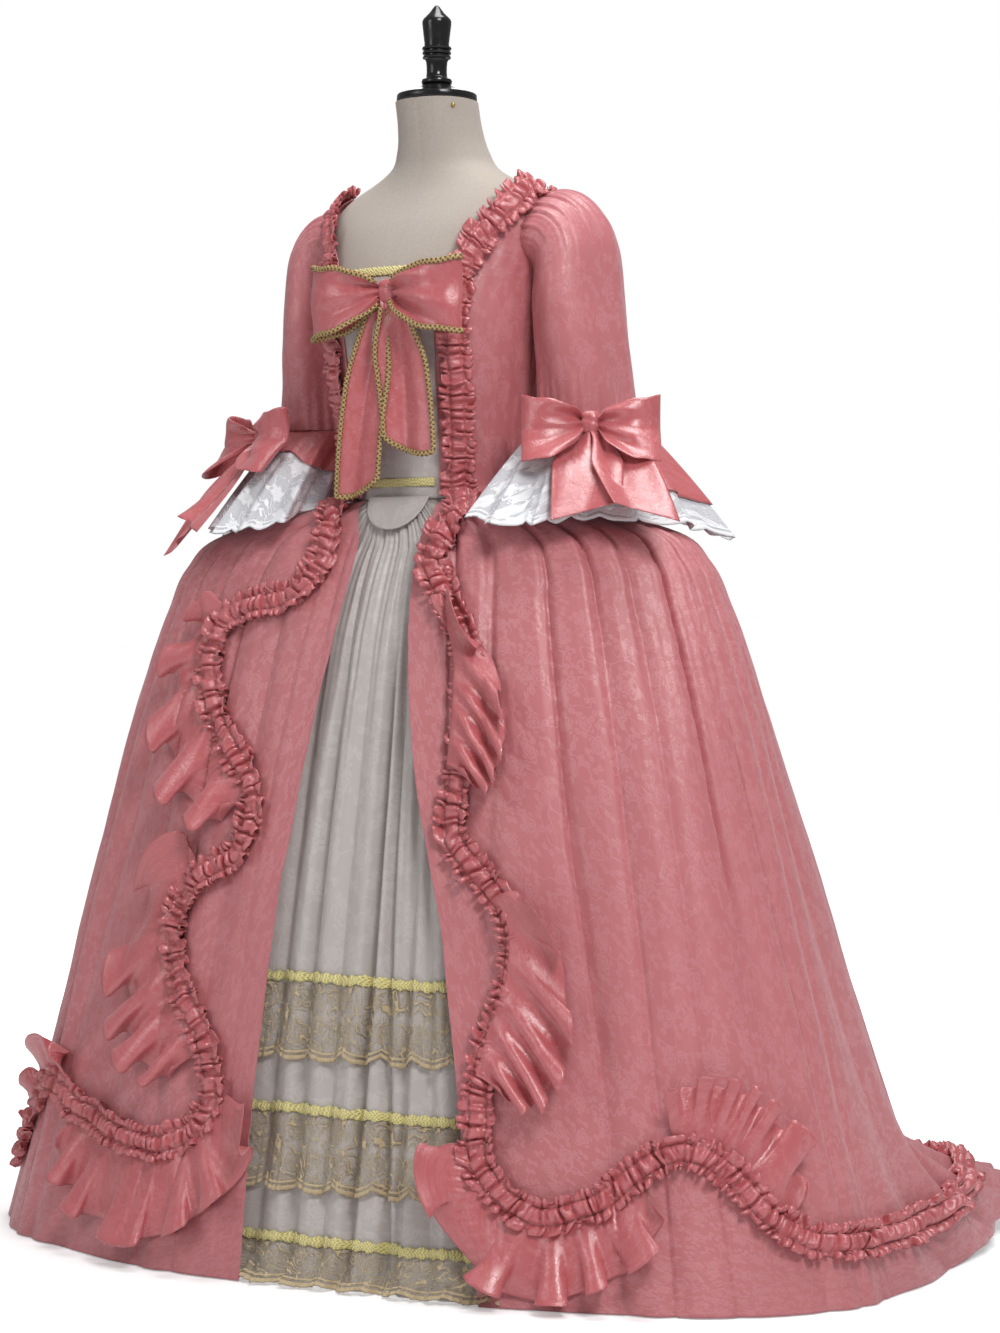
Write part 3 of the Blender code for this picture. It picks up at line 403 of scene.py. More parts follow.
def cloth(name, columns, rows, place, fabric, replaces=(), closed_round=False):
    """A sheet of cloth: a grid whose outer face place(across, up) puts on its form.

    Its UV map is in metres of flat cloth, and the flat size is measured along its threads.
    """
    data, across, up = grid_sheet(name, columns, rows)
    points = place(np.where(across > 0.9999, 0.0, across) if closed_round else across, up)
    points[:, 2] = np.maximum(points[:, 2], fabric.wall + FLOOR_CLEARANCE)
    data.vertices.foreach_set("co", points.ravel())
    net = points[np.lexsort((across, up))].reshape(rows + 1, columns + 1, 3)
    row_lengths = np.linalg.norm(np.diff(net, axis=1), axis=2).sum(axis=1)
    column_lengths = np.linalg.norm(np.diff(net, axis=0), axis=2).sum(axis=0)
    row = np.round(up * rows).astype(int)
    lay_out(data, np.stack([(across - 0.5) * row_lengths[row], up * column_lengths.mean()], axis=1))
    data.update()
    area = sum(face.area for face in data.polygons)
    if closed_round:
        merged(data)
    piece = finished(name, data, fabric.material, replaces)
    shell = piece.modifiers.new("Cloth wall", "SOLIDIFY")
    shell.thickness = fabric.wall
    shell.offset = -1.0
    shell.use_even_offset = False
    width, length = float(row_lengths.max()), float(column_lengths.max())
    if area < 0.35 * width * length:
        width = area / (0.6 * length)
    area = min(float(area), width * length)
    return piece


def finished(name, data, material, replaces):
    data.shade_smooth()
    data.materials.append(material)
    piece = bpy.data.objects.new(name, data)
    bpy.context.scene.collection.objects.link(piece)
    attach(piece, "root")
    if replaces:
        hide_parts(*replaces)
    return piece


def cord_round(name, path, outs, width, thickness, bead, material, replaces=()):
    """A braided edging that follows a path, flat on the cloth, with beads along it."""
    sides, steps = 8, len(path) - 1
    data, across, up = grid_sheet(name, sides, steps)
    lane = np.round(across * sides).astype(int) % sides
    k = np.round(up * steps).astype(int)
    tangent = unit(np.gradient(path, axis=0))
    side = unit(np.cross(tangent, outs))
    over = unit(np.cross(side, tangent))
    run = np.concatenate([[0.0], np.cumsum(np.linalg.norm(np.diff(path, axis=0), axis=1))])
    angle = math.tau * lane / sides
    swell = 1 + 0.22 * np.sin(math.tau * run[k] / bead + angle)
    points = (path[k] + side[k] * (np.cos(angle) * swell * width / 2)[:, None]
              + over[k] * ((np.sin(angle) * swell + 0.6) * thickness / 2)[:, None])
    points[:, 2] = np.maximum(points[:, 2], FLOOR_CLEARANCE)
    data.vertices.foreach_set("co", points.ravel())
    lay_out(data, np.stack([across * width * 2, run[k]], axis=1))
    merged(data, close=True)
    return finished(name, data, material, replaces)


def turned(name, profile, middle, material, replaces, sides=72):
    """A round piece from a profile of (radius, height) that starts and ends on the axis."""
    shape = bmesh.new()
    points = [shape.verts.new((middle[0] + radius, middle[1], middle[2] + z)) for radius, z in profile]
    edges = [shape.edges.new(pair) for pair in zip(points, points[1:])]
    bmesh.ops.spin(shape, geom=points + edges, cent=middle, axis=(0, 0, 1), angle=math.tau,
                   steps=sides, use_merge=True, use_duplicate=False)
    bmesh.ops.remove_doubles(shape, verts=shape.verts, dist=0.00002)
    bmesh.ops.recalc_face_normals(shape, faces=shape.faces)
    data = bpy.data.meshes.new(name)
    shape.to_mesh(data)
    shape.free()
    piece = finished(name, data, material, replaces)
    piece.data.set_sharp_from_angle(angle=math.radians(38))
    return piece


# Finishes


def colour(red, green, blue):
    """A colour from its screen values of 0 to 255."""
    values = [v / 255 for v in (red, green, blue)]
    return (*[v / 12.92 if v <= 0.04045 else ((v + 0.055) / 1.055) ** 2.4 for v in values], 1.0)


def plug(tree, value, socket):
    if isinstance(value, bpy.types.NodeSocket):
        tree.links.new(value, socket)
    else:
        socket.default_value = value


def node(tree, kind, inputs=None, **settings):
    made = tree.nodes.new(kind)
    for name, value in settings.items():
        setattr(made, name, value)
    for name, value in (inputs or {}).items():
        plug(tree, value, made.inputs[name])
    return made


def maths(tree, operation, first, second=0.0):
    made = node(tree, "ShaderNodeMath", operation=operation)
    plug(tree, first, made.inputs[0])
    plug(tree, second, made.inputs[1])
    return made.outputs[0]


def times(tree, first, second):
    return maths(tree, "MULTIPLY", first, second)


def plus(tree, first, second):
    return maths(tree, "ADD", first, second)


def less(tree, first, second):
    return maths(tree, "SUBTRACT", first, second)


def larger(tree, first, second):
    return maths(tree, "MAXIMUM", first, second)


def size_of(tree, value):
    return maths(tree, "ABSOLUTE", value)


def noise(tree, vector, scale, detail, rough=0.5, **settings):
    """A cloudy pattern from 0 to 1."""
    made = node(tree, "ShaderNodeTexNoise", {
        "Vector": vector, "Scale": scale, "Detail": detail, "Roughness": rough,
    }, **settings)
    return made.outputs["Fac"]


def finish(tree, shader, height, strength, distance, inputs):
    """Plugs values into a shader, with a bump from a height."""
    bump = node(tree, "ShaderNodeBump", {"Height": height, "Strength": strength, "Distance": distance})
    for name, value in {**inputs, "Normal": bump.outputs["Normal"]}.items():
        plug(tree, value, shader.inputs[name])


def ranged(tree, value, low, high, to_low=0.0, to_high=1.0):
    made = node(tree, "ShaderNodeMapRange", {
        "Value": value, "From Min": low, "From Max": high, "To Min": to_low, "To Max": to_high,
    }, interpolation_type="SMOOTHSTEP")
    return made.outputs["Result"]


def blended(tree, share, first, second):
    made = node(tree, "ShaderNodeMix", data_type="RGBA")
    plug(tree, share, made.inputs[0])
    plug(tree, first, made.inputs[6])
    plug(tree, second, made.inputs[7])
    return made.outputs[2]


def new_group(name, inputs, outputs):
    group = bpy.data.node_groups.new(name, "ShaderNodeTree")
    for label, kind, value in inputs:
        socket = group.interface.new_socket(label, in_out="INPUT", socket_type=kind)
        if value is not None:
            socket.default_value = value
    for label in outputs:
        group.interface.new_socket(label, in_out="OUTPUT", socket_type="NodeSocketFloat")
    return group, group.nodes.new("NodeGroupInput"), group.nodes.new("NodeGroupOutput")


def around_cells(tree, where, scale, randomness):
    """Distance from and angle round the middles of scattered cells."""
    placed = node(tree, "ShaderNodeVectorMath", {0: where, "Scale": scale}, operation="SCALE").outputs[0]
    cells = node(tree, "ShaderNodeTexVoronoi", {"Vector": placed, "Scale": 1.0, "Randomness": randomness},
                 voronoi_dimensions="2D")
    off = node(tree, "ShaderNodeVectorMath", {0: placed, 1: cells.outputs["Position"]}, operation="SUBTRACT")
    parts = node(tree, "ShaderNodeSeparateXYZ", {"Vector": off.outputs[0]})
    shade = node(tree, "ShaderNodeSeparateColor", {"Color": cells.outputs["Color"]})
    angle = maths(tree, "ARCTAN2", parts.outputs["Y"], parts.outputs["X"])
    return cells.outputs["Distance"], plus(tree, angle, times(tree, shade.outputs[0], math.tau))


def flower_group():
    """Woven flowers, leaves and stems of an ordinary damask."""
    tree, come, go = new_group("woven flowers", [
        ("Vector", "NodeSocketVector", None), ("Flowers a metre", "NodeSocketFloat", 13.0),
    ], ["Motif", "Thread"])
    where, scale = come.outputs["Vector"], come.outputs["Flowers a metre"]
    radius, angle = around_cells(tree, where, scale, 0.7)
    petal = maths(tree, "COSINE", times(tree, angle, 5.0))
    rim = plus(tree, 0.27, times(tree, petal, 0.055))
    bloom = ranged(tree, less(tree, rim, radius), -0.05, 0.05)
    rings = maths(tree, "SINE", plus(tree, times(tree, radius, 46.0), times(tree, petal, 1.5)))
    bloom = times(tree, bloom, ranged(tree, rings, -0.75, -0.35))
    moved = node(tree, "ShaderNodeVectorMath", {0: where, 1: (0.37, 0.71, 0.0)}, operation="ADD").outputs[0]
    leaf_radius, leaf_angle = around_cells(tree, moved, times(tree, scale, 2.15), 1.0)
    lobe = maths(tree, "POWER", size_of(tree, maths(tree, "COSINE", leaf_angle)), 1.6)
    leaf = ranged(tree, less(tree, times(tree, lobe, 0.44), leaf_radius), -0.08, 0.08)
    vein = ranged(tree, size_of(tree, maths(tree, "SINE", leaf_angle)), 0.02, 0.10)
    wander = noise(tree, where, times(tree, scale, 1.1), 1.0, noise_dimensions="2D")
    stem = ranged(tree, size_of(tree, less(tree, wander, 0.5)), 0.016, 0.006)
    motif = larger(tree, bloom, larger(tree, times(tree, leaf, vein), stem))
    parts = node(tree, "ShaderNodeSeparateXYZ", {"Vector": where})
    warp, weft = [maths(tree, "SINE", times(tree, parts.outputs[way], math.tau * THREADS)) for way in "XY"]
    plug(tree, motif, go.inputs["Motif"])
    plug(tree, times(tree, plus(tree, warp, weft), 0.25), go.inputs["Thread"])
    return tree


def lace_group():
    """Lace: a fine net with corded flowers, and borders that follow its lower edge."""
    tree, come, go = new_group("corded lace", [
        ("Vector", "NodeSocketVector", None), ("Flowers a metre", "NodeSocketFloat", 26.0),
        ("Net", "NodeSocketFloat", 0.25), ("Fill", "NodeSocketFloat", 0.5),
    ], ["Thread", "Cord"])
    where, scale = come.outputs["Vector"], come.outputs["Flowers a metre"]
    radius, angle = around_cells(tree, where, scale, 0.6)
    petal = maths(tree, "COSINE", times(tree, angle, 6.0))
    shaped = plus(tree, radius, times(tree, petal, 0.045))
    rings = size_of(tree, maths(tree, "SINE", times(tree, shaped, 19.0)))
    cords = times(tree, ranged(tree, rings, 0.36, 0.18), ranged(tree, radius, 0.52, 0.44))
    petals = times(tree, ranged(tree, shaped, 0.34, 0.28), come.outputs["Fill"])
    wander = noise(tree, where, times(tree, scale, 1.5), 1.0, noise_dimensions="2D")
    stems = ranged(tree, size_of(tree, less(tree, wander, 0.5)), 0.030, 0.014)
    level = node(tree, "ShaderNodeSeparateXYZ", {"Vector": where}).outputs["Y"]
    border = ranged(tree, size_of(tree, less(tree, level, 0.0035)), 0.0034, 0.0024)
    second = ranged(tree, size_of(tree, less(tree, level, 0.011)), 0.0018, 0.0010)
    cords = larger(tree, larger(tree, cords, stems), larger(tree, border, second))
    holes = node(tree, "ShaderNodeTexVoronoi", {"Vector": where, "Scale": 420.0, "Randomness": 0.3},
                 voronoi_dimensions="2D", feature="DISTANCE_TO_EDGE").outputs["Distance"]
    net = larger(tree, ranged(tree, holes, 0.12, 0.05, 0.0, 0.25), come.outputs["Net"])
    plug(tree, larger(tree, larger(tree, cords, petals), net), go.inputs["Thread"])
    plug(tree, larger(tree, cords, times(tree, petals, 0.6)), go.inputs["Cord"])
    return tree


def fresh(name):
    """A new material with its tree, shader and cloth coordinates."""
    material = bpy.data.materials.new(name)
    material.use_nodes = True
    tree = material.node_tree
    shader = tree.nodes["Principled BSDF"]
    where = node(tree, "ShaderNodeTexCoord")
    return material, tree, shader, where


def satin(name, ground, figure, flowers, sheen_colour, ground_rough, figure_rough, crease, contrast, gloss):
    """Jacquard satin: woven flowers that shine against their ground, on cloth with soft creases."""
    material, tree, shader, where = fresh(name)
    woven = node(tree, "ShaderNodeGroup", {
        "Vector": where.outputs["UV"], "Flowers a metre": flowers,
    }, node_tree=WOVEN)
    motif, there = woven.outputs["Motif"], where.outputs["Object"]
    tone = blended(tree, times(tree, motif, contrast), ground, figure)
    shadow = tuple(0.90 * v for v in ground[:3]) + (1.0,)
    cloudy = ranged(tree, noise(tree, there, 3.2, 3.0), 0.62, 0.38, 0.0, 0.30)
    height = plus(tree, times(tree, noise(tree, there, 46.0, 3.0, 0.55), 0.45 * crease),
                  times(tree, noise(tree, there, 9.0, 2.0), 1.6 * crease))
    height = plus(tree, height, times(tree, motif, 0.05))
    height = plus(tree, height, times(tree, woven.outputs["Thread"], 0.035))
    finish(tree, shader, height, 0.6, 0.0035, {
        "Base Color": blended(tree, cloudy, tone, shadow),
        "Roughness": ranged(tree, motif, 0.0, 1.0, ground_rough, figure_rough),
        "Specular IOR Level": gloss, "Sheen Weight": 0.30, "Sheen Roughness": 0.45,
        "Sheen Tint": sheen_colour,
    })
    return material


def lace(name, thread_colour, cord_colour, flowers, net, fill):
    """Lace whose net and filled petals are as dense as net and fill say, from 0 to 1."""
    material, tree, shader, where = fresh(name)
    woven = node(tree, "ShaderNodeGroup", {
        "Vector": where.outputs["UV"], "Flowers a metre": flowers, "Net": net, "Fill": fill,
    }, node_tree=LACE)
    cord = woven.outputs["Cord"]
    finish(tree, shader, cord, 0.8, 0.0012, {
        "Base Color": blended(tree, cord, thread_colour, cord_colour),
        "Alpha": woven.outputs["Thread"], "Roughness": 0.72,
    })
    return material


def braided(name, thread, hollow_shade, plait, rough, metal=0.0):
    """A plaited edging or braid, with thread crossing it both ways and painted shade in the hollows between
    its strands.
    """
    material, tree, shader, where = fresh(name)
    parts = node(tree, "ShaderNodeSeparateXYZ", {"Vector": where.outputs["UV"]})
    x, y = parts.outputs["X"], parts.outputs["Y"]
    first, second = [maths(tree, "SINE", times(tree, lean, math.tau / plait))
                     for lean in (plus(tree, x, y), less(tree, x, y))]
    weave = larger(tree, first, second)
    finish(tree, shader, weave, 0.9, 0.0008, {
        # painted shade: the low parts of the weave take the darker hollow colour
        "Base Color": blended(tree, ranged(tree, weave, -0.4, 0.8), hollow_shade, thread),
        "Roughness": rough, "Metallic": metal,
    })
    return material


def linen_cloth():
    material, tree, shader, where = fresh("beige linen")
    there = where.outputs["Object"]
    parts = node(tree, "ShaderNodeSeparateXYZ", {"Vector": there})
    turn = maths(tree, "ARCTAN2", parts.outputs["X"], parts.outputs["Y"])
    warp = maths(tree, "SINE", times(tree, turn, 620.0))
    weft = maths(tree, "SINE", times(tree, parts.outputs["Z"], math.tau * 820))
    weave = times(tree, plus(tree, warp, weft), 0.5)
    shade = plus(tree, times(tree, noise(tree, there, 260.0, 2.0), 0.7), times(tree, weave, 0.12))
    tone = blended(tree, ranged(tree, shade, 0.2, 0.55), colour(176, 165, 156), colour(184, 174, 165))
    cloudy = ranged(tree, noise(tree, there, 6.0, 2.0), 0.4, 0.7, 0.0, 0.35)
    finish(tree, shader, shade, 0.3, 0.0004, {
        "Base Color": blended(tree, cloudy, tone, colour(178, 168, 156)),
        "Roughness": 0.88, "Sheen Weight": 0.15,
    })
    return material


def lacquer(name, tint, rough, metal=0.0):
    """Lacquer or metal with faint handling marks."""
    material, tree, shader, where = fresh(name)
    marks = noise(tree, where.outputs["Object"], 55.0, 4.0)
    streaks = noise(tree, where.outputs["Object"], 9.0, 2.0)
    lighter = tuple(min(1.0, 1.6 * v + 0.004) for v in tint[:3]) + (1.0,)
    finish(tree, shader, marks, 0.12, 0.0006, {
        "Base Color": blended(tree, ranged(tree, streaks, 0.45, 0.7, 0.0, 0.5), tint, lighter),
        "Roughness": ranged(tree, marks, 0.35, 0.7, rough * 0.8, rough * 1.5),
        "Metallic": metal,
    })
    return material


THREADS = 900.0
WOVEN = flower_group()
LACE = lace_group()
ROSE_SHEEN = (1.0, 0.72, 0.76, 1.0)
ROSE = satin("rose jacquard satin", colour(194, 113, 118), colour(220, 156, 161), 24.0, ROSE_SHEEN,
             0.44, 0.32, 0.45, 0.32, 0.65)
ROSE_TRIM = satin("rose trimming satin", colour(192, 94, 98), colour(214, 130, 134), 26.0, ROSE_SHEEN,
                  0.30, 0.23, 0.9, 0.30, 1.0)
CREAM = satin("cream jacquard satin", colour(188, 180, 176), colour(208, 202, 199), 20.0,
              (1.0, 0.98, 0.95, 1.0), 0.42, 0.30, 0.45, 0.45, 0.65)
GOLD_LACE = lace("gold corded lace", colour(212, 198, 174), colour(196, 176, 142), 30.0, 0.01, 0.10)
WHITE_LACE = lace("white corded lace", colour(222, 223, 228), colour(240, 241, 244), 24.0, 0.65, 1.0)
# each braid's second colour is painted shade for the hollows of its plait
YELLOW = braided("yellow braid", colour(240, 230, 164), colour(218, 202, 128), 0.0048, 0.62)
GOLD = braided("gold braid", colour(192, 162, 110), colour(104, 80, 44), 0.0062, 0.45, 0.1)
LINEN = linen_cloth()
BLACK = lacquer("black lacquer", (0.008, 0.008, 0.009, 1.0), 0.20)
BRASS = lacquer("brass rivet", colour(186, 160, 92), 0.32, 1.0)

ROSE_CLOTH = Fabric(ROSE, "rose_satin", SATIN_WALL)
TRIM_CLOTH = Fabric(ROSE_TRIM, "rose_trim", TRIM_WALL)
CREAM_CLOTH = Fabric(CREAM, "cream_satin", SATIN_WALL)
GOLD_NET = Fabric(GOLD_LACE, "gold_lace", LACE_WALL)
WHITE_NET = Fabric(WHITE_LACE, "white_lace", LACE_WALL)
YELLOW_BRAID = Fabric(YELLOW, "yellow_braid", SATIN_WALL)


# The dress form and its stand


def form_body():
    sides, levels = 120, 110
    seam_depth, seam_width = 0.0006, 1.6
    data, across, up = grid_sheet("form_body", sides, levels)
    turn = 360.0 * (np.round(across * sides) % sides) / sides
    level = TORSO[0].height + (NECK_TOP - TORSO[0].height) * up
    seam = 0.0
    for line in (0.0, 90.0, 180.0, 270.0):
        off = np.minimum(np.abs(turn - line), 360 - np.abs(turn - line))
        seam = seam + seam_depth * np.exp(-(off / seam_width) ** 2)
    data.vertices.foreach_set("co", moved_out(torso, turn, level, -0.0002 - seam).ravel())
    merged(data, close=True)
    body = finished("form_body", data, LINEN, ["dress_form"])
    body.data.set_sharp_from_angle(angle=math.radians(50))


NECK_MIDDLE = float(read(TORSO, np.array(NECK_TOP), "middle"))
RIVET = Spot(52.0, 1.511)
RIVET_RADIUS = 0.00306
CAP_PROFILE = [
    (0, 0), (0.0515, 0), (0.0530, 0.0008), (0.0536, 0.0020), (0.0536, 0.0085), (0.0528, 0.0098),
    (0.0500, 0.0106), (0.0420, 0.0128), (0.0320, 0.0165), (0.0245, 0.0205), (0.0200, 0.0228),
    (0.0180, 0.0236), (0, 0.0236),
]
FINIAL_PROFILE = [
    (0, 0), (0.0175, 0), (0.0200, 0.0015), (0.0206, 0.0040), (0.0196, 0.0065), (0.0160, 0.0080),
    (0.0142, 0.0105), (0.0136, 0.0160), (0.0136, 0.0230), (0.0142, 0.0300), (0.0158, 0.0335),
    (0.0184, 0.0345), (0.0190, 0.0360), (0.0184, 0.0375), (0.0158, 0.0385), (0.0158, 0.0395),
    (0.0188, 0.0405), (0.0194, 0.0420), (0.0188, 0.0435), (0.0160, 0.0445), (0.0160, 0.0455),
    (0.0192, 0.0465), (0.0198, 0.0480), (0.0192, 0.0495), (0.0164, 0.0505), (0.0166, 0.0560),
    (0.0180, 0.0680), (0.0194, 0.0800), (0.0196, 0.0835), (0.0186, 0.0865), (0.0150, 0.0905),
    (0.0100, 0.0955), (0.0065, 0.1000), (0.0040, 0.1035), (0.0020, 0.1052), (0, 0.1056),
]


def form_and_stand():
    form_body()
    top = NECK_TOP + SEAM
    turned("cap_of_neck", CAP_PROFILE, (0, NECK_MIDDLE, top), BLACK, ["neck_cap"])
    turned("turned_finial", FINIAL_PROFILE, (0, NECK_MIDDLE, top + CAP_PROFILE[-1][1] + 0.0002), BLACK,
           ["finial"])
    rivet = bmesh.new()
    bmesh.ops.create_uvsphere(rivet, u_segments=24, v_segments=12, radius=RIVET_RADIUS)
    spot = Vector(moved_out(torso, np.array(RIVET.turn), np.array(RIVET.height), 0.0006))
    bmesh.ops.translate(rivet, verts=rivet.verts, vec=spot)
    data = bpy.data.meshes.new("neck_rivet")
    rivet.to_mesh(data)
    rivet.free()
    finished("neck_rivet", data, BRASS, [])
    for name in ("stand_base", "stand_pole"):
        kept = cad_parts[name]
        kept.data.materials.clear()
        kept.data.materials.append(BLACK)


# The robe's skirt

PLEAT_TURNS = [-4.0, 6.5, 17.0, 25.5, 36.5, 46.0, 55.5, 66.0, 77.0, 88.0, 98.5, 109.0, 119.0, 130.0,
               140.5, 151.0, 162.0, 172.5, 184.0]
PLEAT_DEPTH = 0.0150
PLEAT_LEAN = 0.0095
SOFT_FOLD = 0.0075
BROAD_FOLD = 0.0050
TRAIN_FOLD = 0.026
TRAIN_FOLD_LOST_AT_HEM = 0.012
SMALL_CREASE = 0.0010
FACING_WIDTH = 0.024
FACING_STITCH = 0.0007
WAIST_DIP = 0.0055
WAIST_DIP_HEIGHT = 0.009
RUCK = 0.008
RUCK_WAVE = 0.026


def opening(height, left_side):
    """The turn at which the robe's front edge lies on one side."""
    return read(OPENING, height, "right" if left_side else "left")


def between_pleats(turn, height):
    """How far each place lies between two pleats, from 0 to 1, and the first one's number.

    The pleats wander from side to side as they run down.
    """
    below = np.maximum(WAIST - height, 0)
    away = np.abs(turn)
    wander = 1.7 * np.sin(0.19 * away + 3.1 * below + (turn > 0) * 1.3) * below / 0.6
    away = away + wander * smooth_step((180 - away) / 20)
    marks = np.array(PLEAT_TURNS)
    k = np.clip(np.searchsorted(marks, away) - 1, 0, len(marks) - 2)
    return np.clip((away - marks[k]) / (marks[k + 1] - marks[k]), 0, 1), k


def waist_dip(below):
    """How far the skirts are drawn in at the waist, at depths below it."""
    return WAIST_DIP * np.exp(-((below / WAIST_DIP_HEIGHT) ** 2))


def robe_lift(turn, height):
    """How far the robe's cloth stands out from the skirt's form."""
    away = np.abs(turn)
    left = (turn > 0) * smooth_step((170 - away) / 30)
    from_edge = away - np.where(turn > 0, opening(height, True), -opening(height, False))
    below = np.maximum(WAIST - height, 0)
    t = np.radians(away)
    share, k = between_pleats(turn, height)
    crisp = np.exp(-((below / (0.40 + 0.16 * np.sin(1.9 * k + 1))) ** 1.6))
    arch = np.clip(np.sin(math.pi * share), 0, 1)
    spacing = np.diff(PLEAT_TURNS)[k] * (0.0035 + 0.0032 * smooth_step(below / 0.5))
    from_crease = np.minimum(share, 1 - share) * spacing
    crease = np.exp(-((from_crease / (0.0036 + 0.008 * (1 - crisp))) ** 2))
    ridge = -PLEAT_DEPTH * crisp * crease + PLEAT_LEAN * crisp * (share - 0.45)
    uneven_size = 0.68 + 0.32 * np.sin(2.6 * k + left * 1.9 + 2.2 * below)
    lower = smooth_step((below - 0.10) / 0.4)
    soft = SOFT_FOLD * lower * (arch ** 1.2 - 0.6)
    lift = (ridge * smooth_step(below / 0.05) + soft) * uneven_size
    broad = BROAD_FOLD * lower * (np.sin(5.3 * t + 1.1 + 1.7 * left) + 0.7 * np.sin(13 * t + 3 * below))
    behind = smooth_step((away - 72) / 50)
    calm = np.where(turn > 0, 1 - 0.5 * smooth_step((turn - 135) / 25), 0.5)
    train = calm * behind * smooth_step((0.24 - height) / 0.20)
    phase = 29 * t + 3.4 * np.sin(4 * t) + 1.9 * np.sin(9 * t) + 1.4 * left + 5 * height
    tall = TRAIN_FOLD - TRAIN_FOLD_LOST_AT_HEM * smooth_step((0.05 - height) / 0.05)
    lift = lift + broad + train * tall * (0.5 + 0.5 * np.sin(phase)) ** 1.4
    small = ripple(turn * 0.55, height * 26.0, 1.3) + 0.6 * ripple(turn * 1.7, height * 11.0, 4.1)
    lift = lift + SMALL_CREASE * small * smooth_step((180 - away) / 6) * smooth_step(below / 0.06)
    lift = lift * smooth_step(from_edge / 6.0) * smooth_step(below / 0.02)
    per_degree = 0.0035 + 0.0030 * smooth_step(below / 0.9)
    facing = np.exp(-(((from_edge * per_degree - FACING_WIDTH) / 0.0018) ** 2))
    pucker = np.exp(-((from_edge * per_degree / 0.007) ** 2)) * smooth_step(below / 0.05)
    lift = lift - FACING_STITCH * facing + SMALL_CREASE * pucker * np.sin(math.tau * height / 0.013)
    return lift - waist_dip(below)


def on_robe(turn, height, out):
    """Places on the robe, with the train's cloth rucked up from the floor."""
    points = moved_out(skirt, turn, height, robe_lift(turn, height) + out)
    away = np.abs(turn)
    rucked = smooth_step((away - 100) / 24) * smooth_step((174 - away) / 18)
    rucked = rucked * smooth_step((0.17 - height) / 0.15)
    wave = 0.5 + 0.5 * uneven(0.46 * away + 6 * height, 1.0 + 0.8 * (turn > 0))
    points[..., 2] += rucked * (RUCK + RUCK_WAVE * wave)
    points[..., :2] *= (1 + 0.030 * rucked)[..., None]
    return points


ROBE_TOP = 0.9938
MIDDLE_BACK = 179.985


def robe_side(word, left_side):
    def place(across, up):
        height = ROBE_TOP * (up - 0.10 * np.sin(math.tau * up))
        edge = np.abs(opening(height, left_side))
        share = across if left_side else 1 - across
        turn = edge + (MIDDLE_BACK - edge) * share ** 1.3
        turn = turn if left_side else -turn
        return on_robe(turn, height, 0.0)

    cloth("robe_skirt_" + word + "_satin", 440, 110, place, ROSE_CLOTH, ["robe_skirt_" + word])


# Ruched bands and gathered flounces

BAND_HALF_WIDTH = 0.0205
GATHER = 0.0160
TRAIN_GATHER = 0.0200
ROBING_GATHER = 0.0135
STITCHES_AT = 0.50


def ruched(name, form, spots, carried, half_width, seed, gather=GATHER, reach=1.0):
    """A strip gathered along two rows of stitches, with a puffed middle and two frilled edges.

    carried puts places beside the spots on the cloth below, and gather is the length of one wave.
    """
    shares, run = even_run(form, spots)
    length = run[-1]
    waves = max(int(round(length / gather)), 6)

    def place(across, up):
        along = (1 - up) * length
        count = waves * (1 - up)
        lane = 2 * across - 1
        away, side = np.abs(lane), np.sign(lane)
        edge = smooth_step((away - 0.46) / 0.40)
        middle = np.clip(1 - (away / 0.56) ** 2, 0, 1) ** 0.6
        phase = count + 0.55 * uneven(1.9 * count, seed)
        phase = phase + edge * (0.30 * side + 0.45 * uneven(1.3 * count, seed + side))
        phase = phase + 0.16 * lane * np.sin(0.9 * count + seed)
        phase = phase + 0.22 * np.sin(math.pi * lane) * np.cos(0.7 * count + seed)
        strong = 1 + 0.45 * uneven(1.1 * count + side * edge, 2 * seed)
        lean, stand = winding(phase, (1.30 + 0.35 * edge) * np.clip(strong, 0.5, 1.15))
        stitch = np.exp(-(((away - STITCHES_AT) / 0.09) ** 2))
        relief = gather * (stand + 0.36) * (0.92 - 0.12 * edge)
        out = 0.0012 + (0.0024 + relief) * (1 - 0.78 * stitch) * (1 + 0.25 * middle)
        wander = 0.08 * uneven(0.6 * count, seed + 3)
        width = lane * (1 + edge * (0.16 * np.sin(math.tau * phase + 0.9) + 0.12 * uneven(0.8 * count, seed)))
        share = np.interp(np.clip(along + gather * lean * (0.7 + 0.3 * edge), 0, length), run, shares)
        turn, height = beside(form, spots, share, half_width * (width + wander))
        return carried(turn, height, SATIN_WALL + reach * np.maximum(out, SEAM))

    cloth(name + "_ruching", 16, 14 * waves, place, TRIM_CLOTH, [name])


OVER_BAND = 0.011
TALLEST_CONE = 0.042
LOWEST_FLOUNCE = 0.008


